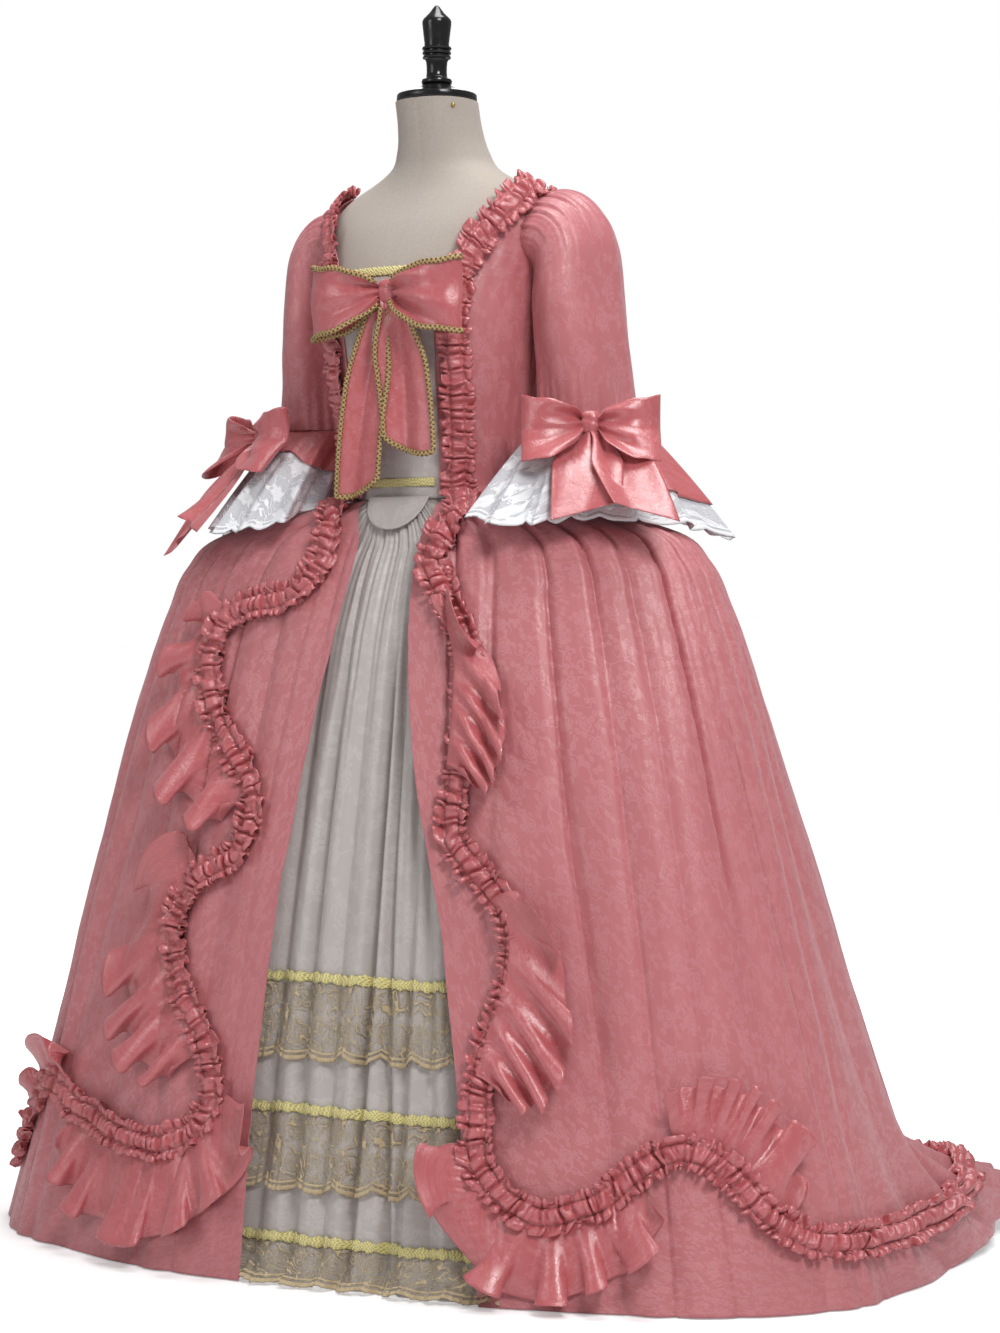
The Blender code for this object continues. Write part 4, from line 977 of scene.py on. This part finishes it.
def fan(spec, spots):
    """A flounce gathered into the edge of a band, whose cloth falls in rolled cones."""
    over = OVER_BAND * smooth_step((0.012 - spec.start_out) / 0.016)
    span = spec.stop - spec.start
    seed = 2.3 * spec.start
    widths = np.array(spec.lobes)
    marks = np.concatenate([[0.0], np.cumsum(widths)]) / widths.sum()
    middles = (marks[1:] + marks[:-1]) / 2
    shares, run = even_run(skirt, spots)
    length = np.interp(spec.stop, shares, run) - np.interp(spec.start, shares, run)

    def place(across, up):
        k = across if spec.side > 0 else 1 - across
        down = 1 - up
        bulge = np.sin(math.pi * np.clip(k, 0.0005, 0.9995)) ** 0.40
        phase = np.interp(k, marks, np.arange(len(marks)))
        size = np.interp(k, middles, widths) / widths.sum()
        lean, stand = winding(phase + 0.06 * uneven(9 * k + 2 * down, seed), 0.5 + 1.35 * down ** 0.55)
        crest = 0.5 + stand / 1.1
        depth = spec.depth * (0.30 + 0.70 * bulge) * (1 + 0.10 * uneven(7 * k, seed) + 0.10 * (crest - 0.5))
        share = spec.start + span * (k + size * lean * (0.25 + 0.75 * down))
        tall = np.minimum(size * length * (1 + 0.6 * down), TALLEST_CONE)
        out = 0.0024 + over * (1 - 0.5 * down) + tall * (0.10 + 0.66 * down ** 0.9) * crest + 0.0030 * down
        fall = spec.drop * bulge * down ** 1.3 * (1 + 0.25 * (crest - 0.5))
        turn, height = beside(skirt, spots, np.clip(share, 0, len(spots) - 1),
                              spec.side * (spec.start_out + (depth + 0.008) * down))
        return on_robe(turn, np.maximum(height - fall, LOWEST_FLOUNCE), out)

    cloth(spec.name + "_satin", 34 * len(spec.lobes), 26, place, TRIM_CLOTH, [spec.name])


# The petticoat


TUCK_AT_WAIST = 0.0032
TUCK_BELOW = 0.0218
TRAIN_FROM = 0.34
PETTICOAT_SWEEP = 0.12


def tuck(height):
    """How far the petticoat lies inside the skirt's form."""
    below = WAIST - height
    return TUCK_AT_WAIST + TUCK_BELOW * smooth_step(below / 0.06) + waist_dip(below)


def petticoat(turn, height):
    """The petticoat's cloth without its folds. It leaves the robe where the train starts."""
    inside = moved_out(skirt, turn, height, -tuck(height))
    behind = smooth_step((np.abs(turn) - 80) / 60)
    hem = float(read(SKIRT, np.array(TRAIN_FROM), "back"))
    hem = hem + PETTICOAT_SWEEP * (TRAIN_FROM - height) / TRAIN_FROM
    lower = (height < TRAIN_FROM) & (inside[..., 1] > 0)
    shrink = 1 - behind * (1 - hem / read(SKIRT, height, "back"))
    inside[..., 1] = np.where(lower, inside[..., 1] * shrink, inside[..., 1])
    flatter = inside[..., 2] * (1 - behind) + (height * 0.985 + 0.006) * behind
    inside[..., 2] = np.where(lower, flatter, inside[..., 2])
    return inside


DeepFold = namedtuple("DeepFold", "turn depth width")
DEEP_FOLDS = [
    DeepFold(-3.2, 0.009, 0.7), DeepFold(5.4, 0.026, 0.8), DeepFold(8.4, 0.017, 0.6),
    DeepFold(11.6, 0.015, 0.8),
]
WAIST_GATHER = 0.0030
UPPER_FOLD = 0.0050
LOWER_FOLD = 0.0100


def petticoat_folds(turn, height):
    """Gathers at the waist that run together into deep folds below."""
    below = np.maximum(WAIST - height, 0)
    t = np.radians(turn)
    gathers = 1.5 * uneven(105 * t, 1.0 + 1.5 * below) * np.exp(-((below / 0.20) ** 1.5))
    wander = turn + 1.1 * np.sin(2.4 * height + 0.31 * turn) * below
    phase = math.tau * wander / 5.9 + 0.9 * np.sin(wander * 0.37 + 1.0) + 0.6
    arch = 0.5 + 0.5 * np.cos(phase)
    size = 0.80 + 0.20 * np.sin(1.3 * wander)
    depth = UPPER_FOLD * smooth_step(below / 0.10) + LOWER_FOLD * smooth_step((below - 0.05) / 0.6)
    deep = 0.0
    for line in DEEP_FOLDS:
        off = (turn - line.turn - 1.2 * below * np.sin(line.turn + 3 * height)) / line.width
        deep = deep - line.depth * np.exp(-(off ** 2)) * smooth_step((below - 0.05) / 0.3)
    folds = WAIST_GATHER * gathers + depth * size * (arch ** 0.6 - 0.62) + deep
    return folds * smooth_step(below / 0.02)


def on_petticoat(turn, height, out):
    """Places on the petticoat's front, whose folds end before its side edges."""
    lift = petticoat_folds(turn, height)
    ends = smooth_step((turn - PETTICOAT_FROM) / 3.0) * smooth_step((PETTICOAT_TO - turn) / 3.0)
    small = 0.0008 * ripple(turn * 1.1, height * 23.0, 2.2)
    return petticoat(turn, height) + outward(skirt, turn, height) * (ends * (lift + small) + out)[..., None]


BACK_FOLD = 0.003
BACK_TUCK = 0.007
PETTICOAT_TOP = 0.994


def petticoat_panels():
    def front_place(across, up):
        turn = PETTICOAT_FROM + (PETTICOAT_TO - PETTICOAT_FROM) * across
        return on_petticoat(turn, PETTICOAT_TOP * (up - 0.08 * np.sin(math.tau * up)), 0.0)

    def back_place(across, up):
        height = PETTICOAT_TOP * up
        turn = PETTICOAT_TO + 0.4 + (PETTICOAT_FROM + 359.2 - PETTICOAT_TO) * across
        turn = np.where(turn <= 180, turn, turn - 360)
        ends = smooth_step(across / 0.04) * smooth_step((1 - across) / 0.04)
        fold = BACK_FOLD * np.sin(44 * np.radians(turn)) - BACK_TUCK
        fold = fold * smooth_step((WAIST - height) / 0.2) * ends
        fold = np.where(height > 0.03, fold, 0.5 * fold)
        return petticoat(turn, height) + outward(skirt, turn, height) * fold[..., None]

    cloth("petticoat_front_satin", 300, 110, front_place, CREAM_CLOTH,
          ["petticoat_front"])
    cloth("petticoat_back_satin", 160, 60, back_place, CREAM_CLOTH,
          ["petticoat_back"])


LACE_TURNS = (-12.6, 28.6)
BRAID_WIDTH = 0.0125
BRAID_ABOVE = 0.006
Tier = namedtuple("Tier", "word top bottom scallop flare gather dip")
TIERS = [
    Tier("top", 0.374, 0.276, 0.012, 0.004, 0.0042, 0.0020),
    Tier("middle", 0.210, 0.114, 0.012, 0.004, 0.0042, 0.0020),
    Tier("hem", 0.052, 0.002, 0.006, 0.024, 0.0065, 0.0010),
]


def lace_tier(tier):
    """A gathered tier of lace with a scalloped edge."""
    start, stop = LACE_TURNS

    def place(across, up):
        turn = start + (stop - start) * across
        waves = np.abs(np.sin(math.pi * 8 * across)) ** 0.75
        low = tier.bottom + tier.scallop * (1 - waves)
        height = low + (tier.top - low) * up
        down = 1 - up
        gathers = 0.5 + 0.5 * uneven(130 * across, 60 * tier.top)
        spread = tier.flare * smooth_step(np.minimum(across, 1 - across) / 0.14)
        out = 0.0026 + tier.gather * down ** 0.8 * gathers + spread * down ** 1.5 * (0.7 + 0.5 * gathers)
        return on_petticoat(turn, height, out)

    name = "lace_tier_" + tier.word
    cloth(name + "_net", 240, 18, place, GOLD_NET, [name])


def yellow_braid(tier):
    """A scalloped braid along the top of a lace tier."""
    start, stop = LACE_TURNS
    level = tier.top + BRAID_ABOVE

    def place(across, up):
        turn = start + (stop - start) * across
        sway = 0.0014 * np.sin(math.tau * 30 * across + (up > 0.5) * math.pi)
        sag = tier.dip * np.sin(5 * across + 1) + 0.0015 * uneven(24 * across, 40 * level)
        height = level + sag + (up - 0.5) * BRAID_WIDTH + sway * (2 * np.abs(up - 0.5))
        crown = 0.0012 * np.cos(math.pi * (up - 0.5))
        return on_petticoat(turn, height, 0.0040 + crown + 0.0005 * np.sin(math.tau * 68 * across))

    name = "braid_" + tier.word
    cloth(name + "_edging", 272, 6, place, YELLOW_BRAID, [name])


# The bodice


def patch(edges, share, down):
    """Turns and heights between the two edges of a bodice piece."""
    rows = through(edges, down)
    turn = rows[..., 0] + (rows[..., 2] - rows[..., 0]) * share
    return turn, rows[..., 1] + (rows[..., 3] - rows[..., 1]) * share


STRAIN_CREASE = 0.0018
WAIST_DRAG = 0.0012
SEAM_DEPTH = 0.0010
OVER_SKIRT = 0.0034


def bodice_lift(turn, height):
    """Soft strain creases of the bodice, with its side and back seams."""
    away = np.abs(np.where(turn > 180, turn - 360, turn))
    creases = ripple(away * 0.20 + height * 16, height * 34 - away * 0.05, 3.4)
    waist = np.exp(-(((height - 1.03) / 0.05) ** 2))
    drags = waist * np.sin(away * 0.55 + height * 55)
    seam = 0.0
    for line in (90.0, 128.0, 180.0):
        seam = seam + np.exp(-(((away - line) / 0.9) ** 2))
    return STRAIN_CREASE * creases + WAIST_DRAG * drags - SEAM_DEPTH * seam


def on_bodice(turn, height, out):
    """Places on the bodice, whose foot lies over the skirt's top."""
    over_skirt = OVER_SKIRT * smooth_step((1.004 - height) / 0.010)
    return moved_out(torso, turn, height, BODICE_OUT + over_skirt + bodice_lift(turn, height) + out)


def bodice():
    for side, word in ((1, "left"), (-1, "right")):
        def place(across, up, side=side):
            turn, height = patch(BODICE_FRONT, across if side > 0 else 1 - across, 1 - up)
            return on_bodice(side * turn, height, 0.0004)

        cloth("bodice_front_" + word + "_satin", 60, 90, place, ROSE_CLOTH,
              ["bodice_front_" + word])

    def back_place(across, up):
        turn, height = patch(BODICE_BACK, np.abs(2 * across - 1), 1 - up)
        return on_bodice(np.where(across < 0.5, turn, 360 - turn), height, 0.0004)

    cloth("bodice_back_satin", 96, 80, back_place, ROSE_CLOTH, ["bodice_back"])


STOMACHER_TOP = 1.288
STOMACHER_FOOT = 0.9905
EDGING_WIDTH = 0.0115
TAB_TOP = 0.9925
TAB_DROP = 0.037
TAB_MIDDLE = 0.004
TAB_HALF_WIDTH = 0.046


def stomacher():
    def front_place(across, up):
        height = STOMACHER_FOOT + (STOMACHER_TOP - STOMACHER_FOOT) * up
        turn = -35 + 70 * across
        crease = 0.0007 * ripple(turn * 0.16, height * 25, 5.5)
        return moved_out(torso, turn, height, STOMACHER_OUT + crease)

    cloth("stomacher_satin", 60, 70, front_place, CREAM_CLOTH._replace(wall=STOMACHER_WALL), ["stomacher"])

    def tab_place(across, up):
        sideways = 2 * across - 1
        height = TAB_TOP - TAB_DROP * (1 - up) * np.sqrt(np.clip(1 - sideways ** 2, 0, 1))
        lift = np.interp(height, [0.950, 0.975, 0.995], [-0.0105, -0.0040, 0.0030])
        turn = turn_at(TAB_MIDDLE + TAB_HALF_WIDTH * sideways, height)
        return moved_out(skirt, turn, height, lift)

    cloth("stomacher_tab_satin", 40, 16, tab_place, CREAM_CLOTH._replace(wall=TAB_WALL), ["stomacher_tab"])

    def trim(name, level, reach, replaces):
        def place(across, up):
            turn = reach * (2 * across - 1)
            height = level + EDGING_WIDTH * (up - 0.5) + 0.0006 * np.sin(math.tau * 20 * across)
            return moved_out(torso, turn, height, STOMACHER_OUT + 0.0018 + 0.0008 * np.sin(math.pi * up))

        cloth(name, 160, 6, place, YELLOW_BRAID._replace(wall=EDGING_WALL), replaces)

    trim("stomacher_top_edging", 1.2845, 30, ["stomacher_braid_top"])
    trim("stomacher_waist_edging", 1.0125, 25, ["stomacher_braid_waist"])


def turn_at(x, height):
    """The turns at which the front of the skirt's form stands at x."""
    low, high = -89.0 + 0 * x, 89.0 + 0 * x
    for _ in range(28):
        middle = (low + high) / 2
        less = skirt(middle, height)[..., 0] < x
        low, high = np.where(less, middle, low), np.where(less, high, middle)
    return (low + high) / 2


# Sleeves and their flounces


HEAD_GATHER = 0.0075
ELBOW_GATHER = 0.0010
SLEEVE_DRAG = 0.0018
SLEEVE_FOLD = 0.0030


def sleeve(word, side):
    def place(across, up):
        down = 1 - up
        ring = through(SLEEVE, down)
        angle = math.tau * across
        lean = np.radians(ring[..., 3])
        shoulder = np.exp(-((down / 0.30) ** 2))
        elbow = smooth_step((down - 0.78) / 0.22)
        over_top = np.clip(0.5 + 0.5 * np.cos(angle), 0, 1) ** 1.5
        gathers = HEAD_GATHER * shoulder * over_top * smooth_step(down / 0.06) * uneven(18 * angle, 1.5)
        gathers = gathers + ELBOW_GATHER * elbow * np.sin(26 * angle)
        outside = np.sin(angle / 2 + 0.6) ** 2
        drags = ripple(3 * np.cos(angle) + side, 3 * np.sin(angle) + down * 9, 2.7)
        drags = SLEEVE_DRAG * drags * smooth_step(down / 0.1) * (0.6 + 0.4 * outside)
        long_folds = np.sin(5 * angle + 1.5 * np.sin(2 * angle + side) + 3 * down)
        lift = gathers + drags + SLEEVE_FOLD * long_folds * smooth_step(down / 0.15)
        reach = (ring[..., 4] + lift) * np.cos(angle)
        x = ring[..., 0] + reach * np.sin(lean)
        z = ring[..., 2] + reach * np.cos(lean)
        y = ring[..., 1] - side * (ring[..., 5] + lift) * np.sin(angle)
        return np.stack([side * x, y, z], axis=-1)

    cloth("sleeve_" + word + "_satin", 168, 110, place, ROSE_CLOTH,
          ["sleeve_" + word], closed_round=True)


def hem_spot(angle):
    """Places on the lace's hem, on a smooth closed curve through its spots."""
    rows = np.array([tuple(spot) for spot in LACE_HEM])
    station = angle / math.tau * len(rows)
    k = np.floor(station).astype(int)
    t = (station - k)[..., None]
    a, b, c, d = [rows[(k + step) % len(rows)] for step in (-1, 0, 1, 2)]
    return 0.5 * (2 * b + (c - a) * t + (2 * a - 5 * b + 4 * c - d) * t ** 2
                  + (3 * b - a - 3 * c + d) * t ** 3)


CUFF_WAVES = 13
CUFF_WAVE_DEPTH = 0.011
LACE_INSET = 0.0045


def flare(angle, drop, inset):
    """The flounces below the wearer's left sleeve; angle 0 is outside and 90 degrees is the front."""
    cosine, sine = np.cos(angle), np.sin(angle)
    x, y = CUFF.x + CUFF.half_width * cosine, CUFF.y - CUFF.half_depth * sine
    hem = hem_spot(angle)
    spread = drop ** 0.85
    waves = np.cos(angle * CUFF_WAVES) + 0.35 * np.cos(angle * CUFF_WAVES * 2 + 1)
    push = CUFF_WAVE_DEPTH * drop * waves - inset
    return np.stack([
        x + (hem[..., 0] - x) * spread + cosine * push,
        y + (hem[..., 1] - y) * spread - sine * push,
        SLEEVE_END - SEAM + (hem[..., 2] - SLEEVE_END) * drop,
    ], axis=-1)


def sleeve_flounces(word, side, shortest, longest):
    """A satin flounce over a lace one. The satin is short at one angle and longer by a share opposite."""

    def satin_place(across, up):
        angle = math.tau * (across if side < 0 else 1 - across)
        off = np.degrees(np.arccos(np.clip(np.cos(angle - math.radians(shortest)), -1, 1)))
        length = 0.20 + longest * smooth_step((off - 30) / 85) + 0.012 * np.sin(9 * angle)
        points = flare(angle, length * (1 - up), 0.0)
        points[..., 0] *= side
        return points

    def lace_place(across, up):
        angle = math.tau * (across if side < 0 else 1 - across)
        scallops = 0.050 * (1 - np.abs(np.sin(9.5 * angle)) ** 0.8)
        drop = 0.04 + (1.0 - scallops - 0.04) * (1 - up)
        points = flare(angle, drop, LACE_INSET)
        points[..., 0] *= side
        return points

    cloth("cuff_flounce_" + word + "_satin", 300, 22, satin_place, TRIM_CLOTH,
          ["cuff_flounce_" + word], closed_round=True)
    cloth("cuff_lace_" + word + "_net", 300, 30, lace_place, WHITE_NET,
          ["cuff_lace_" + word], closed_round=True)


# Bows

BOW_BRAID_WIDTH = 0.0074
BOW_BRAID_THICKNESS = 0.0042
BOW_BRAID_BEAD = 0.0076


def bow(prefix, middle, facing, reach, loop_height, knot, lean, tails, braid):
    """A tied bow. tails holds rows of (sideways, outward, drop, half width, roundness of the end)."""
    middle, facing = np.array(middle), np.array(Vector(facing).normalized())
    up_way = np.array((0.0, 0.0, 1.0))
    right = -np.cross(facing, up_way)
    knot_piece = prefix + "_knot_satin"

    def at(x, z, out):
        x, z, out = np.broadcast_arrays(x, z, out)
        return middle + x[..., None] * right + z[..., None] * up_way + out[..., None] * facing

    def edged(name, path):
        return cord_round(name, path, np.repeat(facing[None], len(path), 0), BOW_BRAID_WIDTH,
                          BOW_BRAID_THICKNESS, BOW_BRAID_BEAD, GOLD)

    def knot_place(across, up):
        angle = -math.tau * across
        tall = 2 * up - 1
        bulge = np.clip(1 - np.abs(tall) ** 3.0, 0.05, 1) ** 0.5
        folds = 1 + 0.06 * np.sin(3 * math.tau * up + 2 * np.cos(angle)) + 0.05 * np.cos(5 * angle)
        x = knot * 1.02 * np.cos(angle) * bulge * folds * (1 + 0.16 * tall ** 2)
        out = knot * 0.5 * (1 + 1.05 * np.sin(angle) * bulge * folds)
        return at(x, knot * 1.16 * tall, out + 0.0015)

    cloth(knot_piece, 48, 20, knot_place, TRIM_CLOTH, [prefix + "_knot"],
          closed_round=True)

    # Rows of (sideways, outward, share of the loop's height), round a loop from its front to its back
    loop_rows = [
        (knot * 0.75, 0.006, 0.22), (0.20 * reach, 0.015, 0.52), (0.38 * reach, 0.023, 0.76),
        (0.62 * reach, 0.027, 0.94), (0.84 * reach, 0.022, 1.02), (0.96 * reach, 0.014, 1.04),
        (1.00 * reach, 0.006, 1.05), (0.96 * reach, 0.000, 1.03), (0.80 * reach, -0.004, 1.00),
        (0.55 * reach, -0.004, 0.86), (0.34 * reach, -0.001, 0.64), (knot * 0.75, 0.001, 0.20),
    ]
    for side, word in ((-1, "_loop_right"), (1, "_loop_left")):
        def loop_place(across, up, side=side):
            path = through(loop_rows, across if side > 0 else 1 - across)
            x, out, size = path[..., 0], path[..., 1], path[..., 2]
            near = np.exp(-(((x - knot) / (0.50 * reach)) ** 2))
            tall = up - 0.5
            crease = 0.0055 * near * np.sin(math.tau * 2.3 * up + 0.8 * side + 2 * x / reach)
            crease = crease + 0.0030 * np.sin(math.tau * 1.2 * up + 5 * x / reach + side)
            front = np.where(out > 0.004, 1.0, 0.35)
            z = tall * loop_height * size * (1 + 0.03 * np.sin(14 * x / reach))
            sag = -0.10 * x - 0.004 * np.sin(math.pi * np.clip(x / reach, 0, 1))
            return at(side * x, z + sag, out + 0.005 + crease * front + lean * np.maximum(-z, 0.0))

        trims = []
        if braid:
            run = np.linspace(0.03, 0.97, 130)[::side]
            trims = [edged(prefix + word + part + "_braid", loop_place(run, level + 0 * run))
                     for level, part in ((0.015, "_lower"), (0.985, "_upper"))]
        cloth(prefix + word + "_satin", 72, 28, loop_place, TRIM_CLOTH,
              [prefix + word])

    for row, word, layer in zip(tails, ("_tail_right", "_tail_left"), (0.0, 0.0045)):
        def tail_place(across, up, row=row, layer=layer):
            foot, out_foot, drop, half, round_end = row
            down = 1 - up
            lane = 2 * across - 1
            start = 0.010 if half < 0.030 else 0.45 * half
            width = start + (half - start) * smooth_step(down / 0.45)
            corner = round_end * (1 - np.sqrt(np.clip(1 - (np.abs(lane) ** 2.2), 0, 1)))
            slant = (1 - round_end) * 0.012 * lane * down ** 3 * np.sign(foot)
            x = foot * (0.22 + 0.78 * down ** 0.8) + lane * width
            fold = 0.0050 * np.cos(math.tau * (across + 0.15 * down)) * smooth_step(down / 0.30)
            fold = fold + 0.0022 * np.cos(math.tau * 2.1 * across + 2.5 * down + foot * 60) * (1 - 0.4 * down)
            pinch = 0.0030 * np.cos(math.tau * 2 * across) * np.exp(-((down / 0.25) ** 2))
            curl = 0.0035 * np.sin(5.0 * down + foot * 40) * smooth_step(down / 0.5)
            out = 0.006 + layer + (out_foot - 0.006) * down + fold + pinch + curl
            return at(x, -0.70 * knot - drop * down * (1 - corner * down) - slant, out)

        trims = []
        if braid:
            along = np.linspace(0.06, 1, 90)
            down = np.concatenate([along, np.ones(50), along[::-1]])
            lane = np.concatenate([np.full(90, 0.02), np.linspace(0.02, 0.98, 50), np.full(90, 0.98)])
            path = tail_place(lane, 1 - down)
            apart = np.linalg.norm(np.diff(path, axis=0), axis=1) > MERGE
            trims = [edged(prefix + word + "_braid", path[np.concatenate([[True], apart])])]
        cloth(prefix + word + "_satin", 32, 48, tail_place, TRIM_CLOTH,
              [prefix + word])


# Putting the gown together


def mirrored(spots):
    return [Spot(-spot.turn, spot.height) for spot in spots]


form_and_stand()
petticoat_panels()
robe_side("left", True)
robe_side("right", False)
BAND_TOP = Spot(40.0, 0.9935)
for name, spots, seed, gather in (
    ("skirt_band_left", [BAND_TOP] + SERPENT_LEFT, 0.4, GATHER),
    ("skirt_band_right", mirrored([BAND_TOP]) + SERPENT_RIGHT, 1.9, GATHER),
    ("train_band_left", TRAIN_BAND, 3.1, TRAIN_GATHER),
    ("train_band_right", mirrored(TRAIN_BAND), 4.6, TRAIN_GATHER),
):
    ruched(name, skirt, spots, on_robe, BAND_HALF_WIDTH, seed, gather)
BANDS = {"left": SERPENT_LEFT, "right": SERPENT_RIGHT}
BOW_TAILS = {
    "left": [(-0.008, 0.114, 0.108, 0.045, 0.0), (0.066, 0.128, 0.111, 0.041, 0.0)],
    "right": [(-0.010, 0.134, 0.140, 0.033, 0.0), (0.030, 0.122, 0.112, 0.035, 0.0)],
}
for spec in FLOUNCES:
    fan(spec, BANDS[spec.band])

for tier in TIERS:
    lace_tier(tier)
for tier in TIERS:
    yellow_braid(tier)

bodice()
stomacher()
for side, word in ((1, "left"), (-1, "right")):
    for name, spots, half_width, seed, reach in (
        ("robing_", ROBING, 0.0180, 5.0, 0.9), ("neck_band_", BACK_NECK, 0.0150, 6.0, 0.8),
    ):
        spots = spots if side > 0 else mirrored(spots)
        ruched(name + word, torso, spots, on_bodice, half_width, seed + side, ROBING_GATHER, reach)
    sleeve(word, side)
    if side > 0:
        sleeve_flounces(word, side, 102.0, 0.50)
    else:
        sleeve_flounces(word, side, 66.0, 0.36)
    facing = Vector((side * 0.515, -0.857, 0.0))
    knot_place = Vector((side * CUFF.x, CUFF.y, SLEEVE_END - 0.008)) + facing * 0.0889
    bow("sleeve_bow_" + word, knot_place, facing, 0.089, 0.082, 0.0135, 0.9, BOW_TAILS[word], False)
bow("front_bow", (0.010, -0.1359, 1.258), (0.0, -1.0, 0.0), 0.114, 0.090, 0.0130, 0.0,
    [(-0.050, -0.002, 0.250, 0.034, 0.04), (0.036, 0.004, 0.200, 0.040, 0.08)], True)


# Studio


def studio():
    """A pale floor with a painted glow, seen only by the camera, that turns it white with distance, soft
    lamps, and a white background for the camera.
    """
    ground = bmesh.new()
    bmesh.ops.create_grid(ground, x_segments=1, y_segments=1, size=12.0)
    data = bpy.data.meshes.new("floor")
    ground.to_mesh(data)
    ground.free()
    floor_paint, tree, shader, where = fresh("pale studio floor")
    there = where.outputs["Object"]
    away = node(tree, "ShaderNodeVectorMath", {0: there}, operation="LENGTH").outputs["Value"]
    seen = node(tree, "ShaderNodeLightPath").outputs["Is Camera Ray"]
    # painted light: the floor glows for camera rays, faintly near the middle and more strongly further away
    painted_glow = times(tree, ranged(tree, away, 0.3, 1.8, 0.35, 1.0), seen)
    mottled = noise(tree, there, 2.0, 2.0)
    for name, value in {
        "Base Color": blended(tree, mottled, colour(240, 240, 241), colour(244, 244, 245)),
        "Roughness": 0.9,
        "Emission Color": blended(tree, painted_glow, (0, 0, 0, 1), (1, 1, 1, 1)),
        "Emission Strength": 0.85,
    }.items():
        plug(tree, value, shader.inputs[name])
    data.materials.append(floor_paint)
    floor = bpy.data.objects.new("floor", data)
    bpy.context.scene.collection.objects.link(floor)

    world = bpy.data.worlds.new("studio")
    world.use_nodes = True
    tree = world.node_tree
    around = tree.nodes["Background"]
    around.inputs["Color"].default_value = (1.0, 1.0, 1.0, 1.0)
    around.inputs["Strength"].default_value = 0.27
    backdrop = node(tree, "ShaderNodeBackground", {"Color": (1.0, 1.0, 1.0, 1.0), "Strength": 1.0})
    seen = node(tree, "ShaderNodeLightPath")
    both = node(tree, "ShaderNodeMixShader", {0: seen.outputs["Is Camera Ray"]})
    tree.links.new(around.outputs[0], both.inputs[1])
    tree.links.new(backdrop.outputs[0], both.inputs[2])
    tree.links.new(both.outputs[0], tree.nodes["World Output"].inputs["Surface"])
    bpy.context.scene.world = world

    lamps = [
        ("key", (2.7, -2.0, 3.5), 1.2, 92.0),
        ("fill", (-1.6, -3.6, 2.4), 1.6, 24.0),
        ("top", (0.4, 0.2, 4.2), 1.6, 70.0),
        ("behind", (-2.0, 3.0, 2.4), 1.6, 26.0),
    ]
    for name, place, size, power in lamps:
        light = bpy.data.lights.new(name, "AREA")
        light.shape = "SQUARE"
        light.size = size
        light.energy = power
        lamp = bpy.data.objects.new(name, light)
        lamp.location = place
        aim = Vector((0.0, 0.05, 0.8)) - Vector(place)
        lamp.rotation_euler = aim.to_track_quat("-Z", "Y").to_euler()
        bpy.context.scene.collection.objects.link(lamp)
    bpy.context.scene.view_settings.view_transform = "Standard"


CAMERA_TURN = 31.0
CAMERA_DISTANCE = 4.2
CAMERA_HEIGHT = 0.7724
CAMERA_SIDEWAYS = 0.080
FOCAL_PIXELS = 3152.0
PHOTO_HEIGHT = 1333.0


def camera():
    """A camera at the photo's angle, turned to the wearer's left."""
    view = bpy.data.cameras.new("photo view")
    view.sensor_fit = "VERTICAL"
    view.sensor_height = 36.0
    view.lens = FOCAL_PIXELS / PHOTO_HEIGHT * view.sensor_height
    turn = math.radians(CAMERA_TURN)
    back = Vector((math.sin(turn), -math.cos(turn), 0))
    right = Vector((math.cos(turn), math.sin(turn), 0))
    eye = bpy.data.objects.new("photo view", view)
    eye.location = back * CAMERA_DISTANCE + right * CAMERA_SIDEWAYS + Vector((0, 0, CAMERA_HEIGHT))
    eye.rotation_euler = (math.radians(90), 0, turn)
    bpy.context.scene.collection.objects.link(eye)
    bpy.context.scene.camera = eye


studio()
camera()
